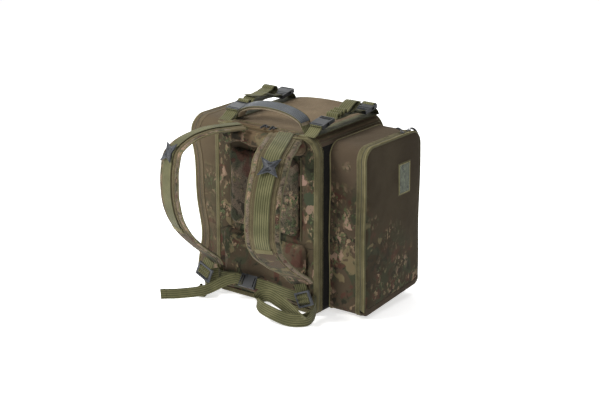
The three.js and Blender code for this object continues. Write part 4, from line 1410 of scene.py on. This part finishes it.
    # Lower webbing: slack loops to the corner tab.
    loop = ribbon(
        f"{side}_lower_loop", LOWER_LOOPS[side], LOWER_ACROSS[side], 38, 190 if side == "right" else 90, 2.0
    )
    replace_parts(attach(turn_out(loop), "rear_door"), f"{side}_lower_webbing")
    tri = np.array([(sign * 173, 80), (sign * 144, 22), (sign * 173, 14)], float)
    steps = []
    for n in range(3):
        steps += [tri[n] + (tri[(n + 1) % 3] - tri[n]) * k / 10 for k in range(10)]
    steps = np.array(steps)
    inside = tri.mean(0)
    corner = [
        at_y(inside + (steps - inside) * s, y) for s,
        y in ((0.98, -156.2), (1.0, -157), (1.0, -158.8), (0.96, -159.6), (0.6, -160.2), (0.2, -160.4))
    ]
    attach(rings_solid(f"{side}_corner_tab", corner, BINDING), "rear_door")

# ---------------------------------------------------------------- waist belt
UPRIGHT = [(0, 0.3, 1), (0, 0, 1), (0, 0, 1)]
left_belt = ribbon(
    "waist_left", [(-72, -199, 70), (-105, -192, 62), (-142, -185, 58), (-152, -174, 58), (-152, -158, 58)],
    UPRIGHT, 30, 44, 1.9
)
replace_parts(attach(turn_out(left_belt), "rear_door"), "waist_webbing_left")
tail = ribbon(
    "waist_tail", [(-72, -199.5, 70), (-98, -210, 60), (-140, -250, 34), (-190, -292, 25), (-238, -326, 22)],
    UPRIGHT, 30, 70, 1.9
)
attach(turn_out(tail), "rear_door")
tip = ribbon("waist_tail_end", [(-226, -317.6, 23), (-238.6, -326.6, 22)], [(0, 0, 1)], 30, 6, 4.2)
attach(turn_out(tip), "rear_door")
right_belt = ribbon(
    "waist_right", [(0, -199, 70), (30, -192, 66), (142, -185, 58), (152, -174, 58), (152, -158, 58)], UPRIGHT,
    30, 60, 1.9
)
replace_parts(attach(turn_out(right_belt), "rear_door"), "waist_webbing_right")
lead = ribbon(
    "waist_lead", [(-44, -199, 68), (-54, -200, 69), (-64, -200, 70), (-76, -199, 70)],
    [(0, 0.8, 0.6), (0, 0.3, 1)], 30, 16, 1.9
)
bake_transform(lead)

# ---------------------------------------------------------------- buckles and zips
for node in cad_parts:
    if node.endswith(("_socket", "_plug")):
        bevelled(node, 1.0, 2, PLASTIC)
    elif node.endswith("_slider"):
        bevelled(node, 1.2, 3, METAL)

RUBBER = moulded("pull_rubber", "1a1b1c", "2c2d2f", 0.6)


def zip_pull(node, path):
    """A ring through the slider and a ribbed moulded grip along a path in mm, in place of a plain pull."""
    path = even(path, 60)
    ring_centre, along = path[0], unit(path[4] - path[0])
    side = unit(np.cross(along, [0.05, 0.1, 1.0]))
    turns = np.linspace(0, 2 * math.pi, 20, endpoint=False)
    circle = [ring_centre + along * (4.6 * math.cos(t) + 2.0) + side * 3.8 * math.sin(t) for t in turns]
    ring = cord_tube(f"{node}_ring", circle, 1.0, METAL, closed=True, sides=6)
    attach(ring, node)
    grip_path = path[10:]
    t = np.linspace(0, 1, len(grip_path))
    radius = 1.9 + 1.2 * np.sin(math.pi * np.clip(t * 1.15, 0, 1)) ** 0.5 + 0.35 * np.sin(t * 2 * math.pi * 7)
    radius[0], radius[-1] = 1.2, 1.4
    grip = cord_tube(f"{node}_grip", grip_path, radius, RUBBER)
    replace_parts(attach(turn_out(grip), node), node)


PULL_Z = HEIGHT + 4.5
for side, sign in SIDES.items():
    x = 10 + 12 * sign
    zip_pull(
        f"rear_zip_{side}_pull",
        [
            (x, -145, PULL_Z), (x, -150, PULL_Z + 3), (x + sign * 2, -158, PULL_Z + 2),
            (x + sign * 3, -170, PULL_Z - 1)
        ]
    )
    x = sign * 278.85
    zip_pull(
        f"{side}_pocket_zip_top_pull",
        [(x, 89, 482.6), (x - sign * 5, 89, 486), (x - sign * 12, 91, 489), (x - sign * 24, 94, 488)]
    )
    bend = [
        (119 + r * math.sin(math.radians(g)), 440 + r * math.cos(math.radians(g))) for g,
        r in ((0, 42.6), (8, 45.5), (22, 45), (38, 43.5), (54, 42.5))
    ]
    zip_pull(f"{side}_pocket_zip_far_pull", [(x + sign * 2 * k, y, z) for k, (y, z) in enumerate(bend)])
zip_pull("front_pocket_zip_pull", [(60, 190.85, 364.5), (60, 186, 367), (60, 180, 367), (60, 170, 365.5)])
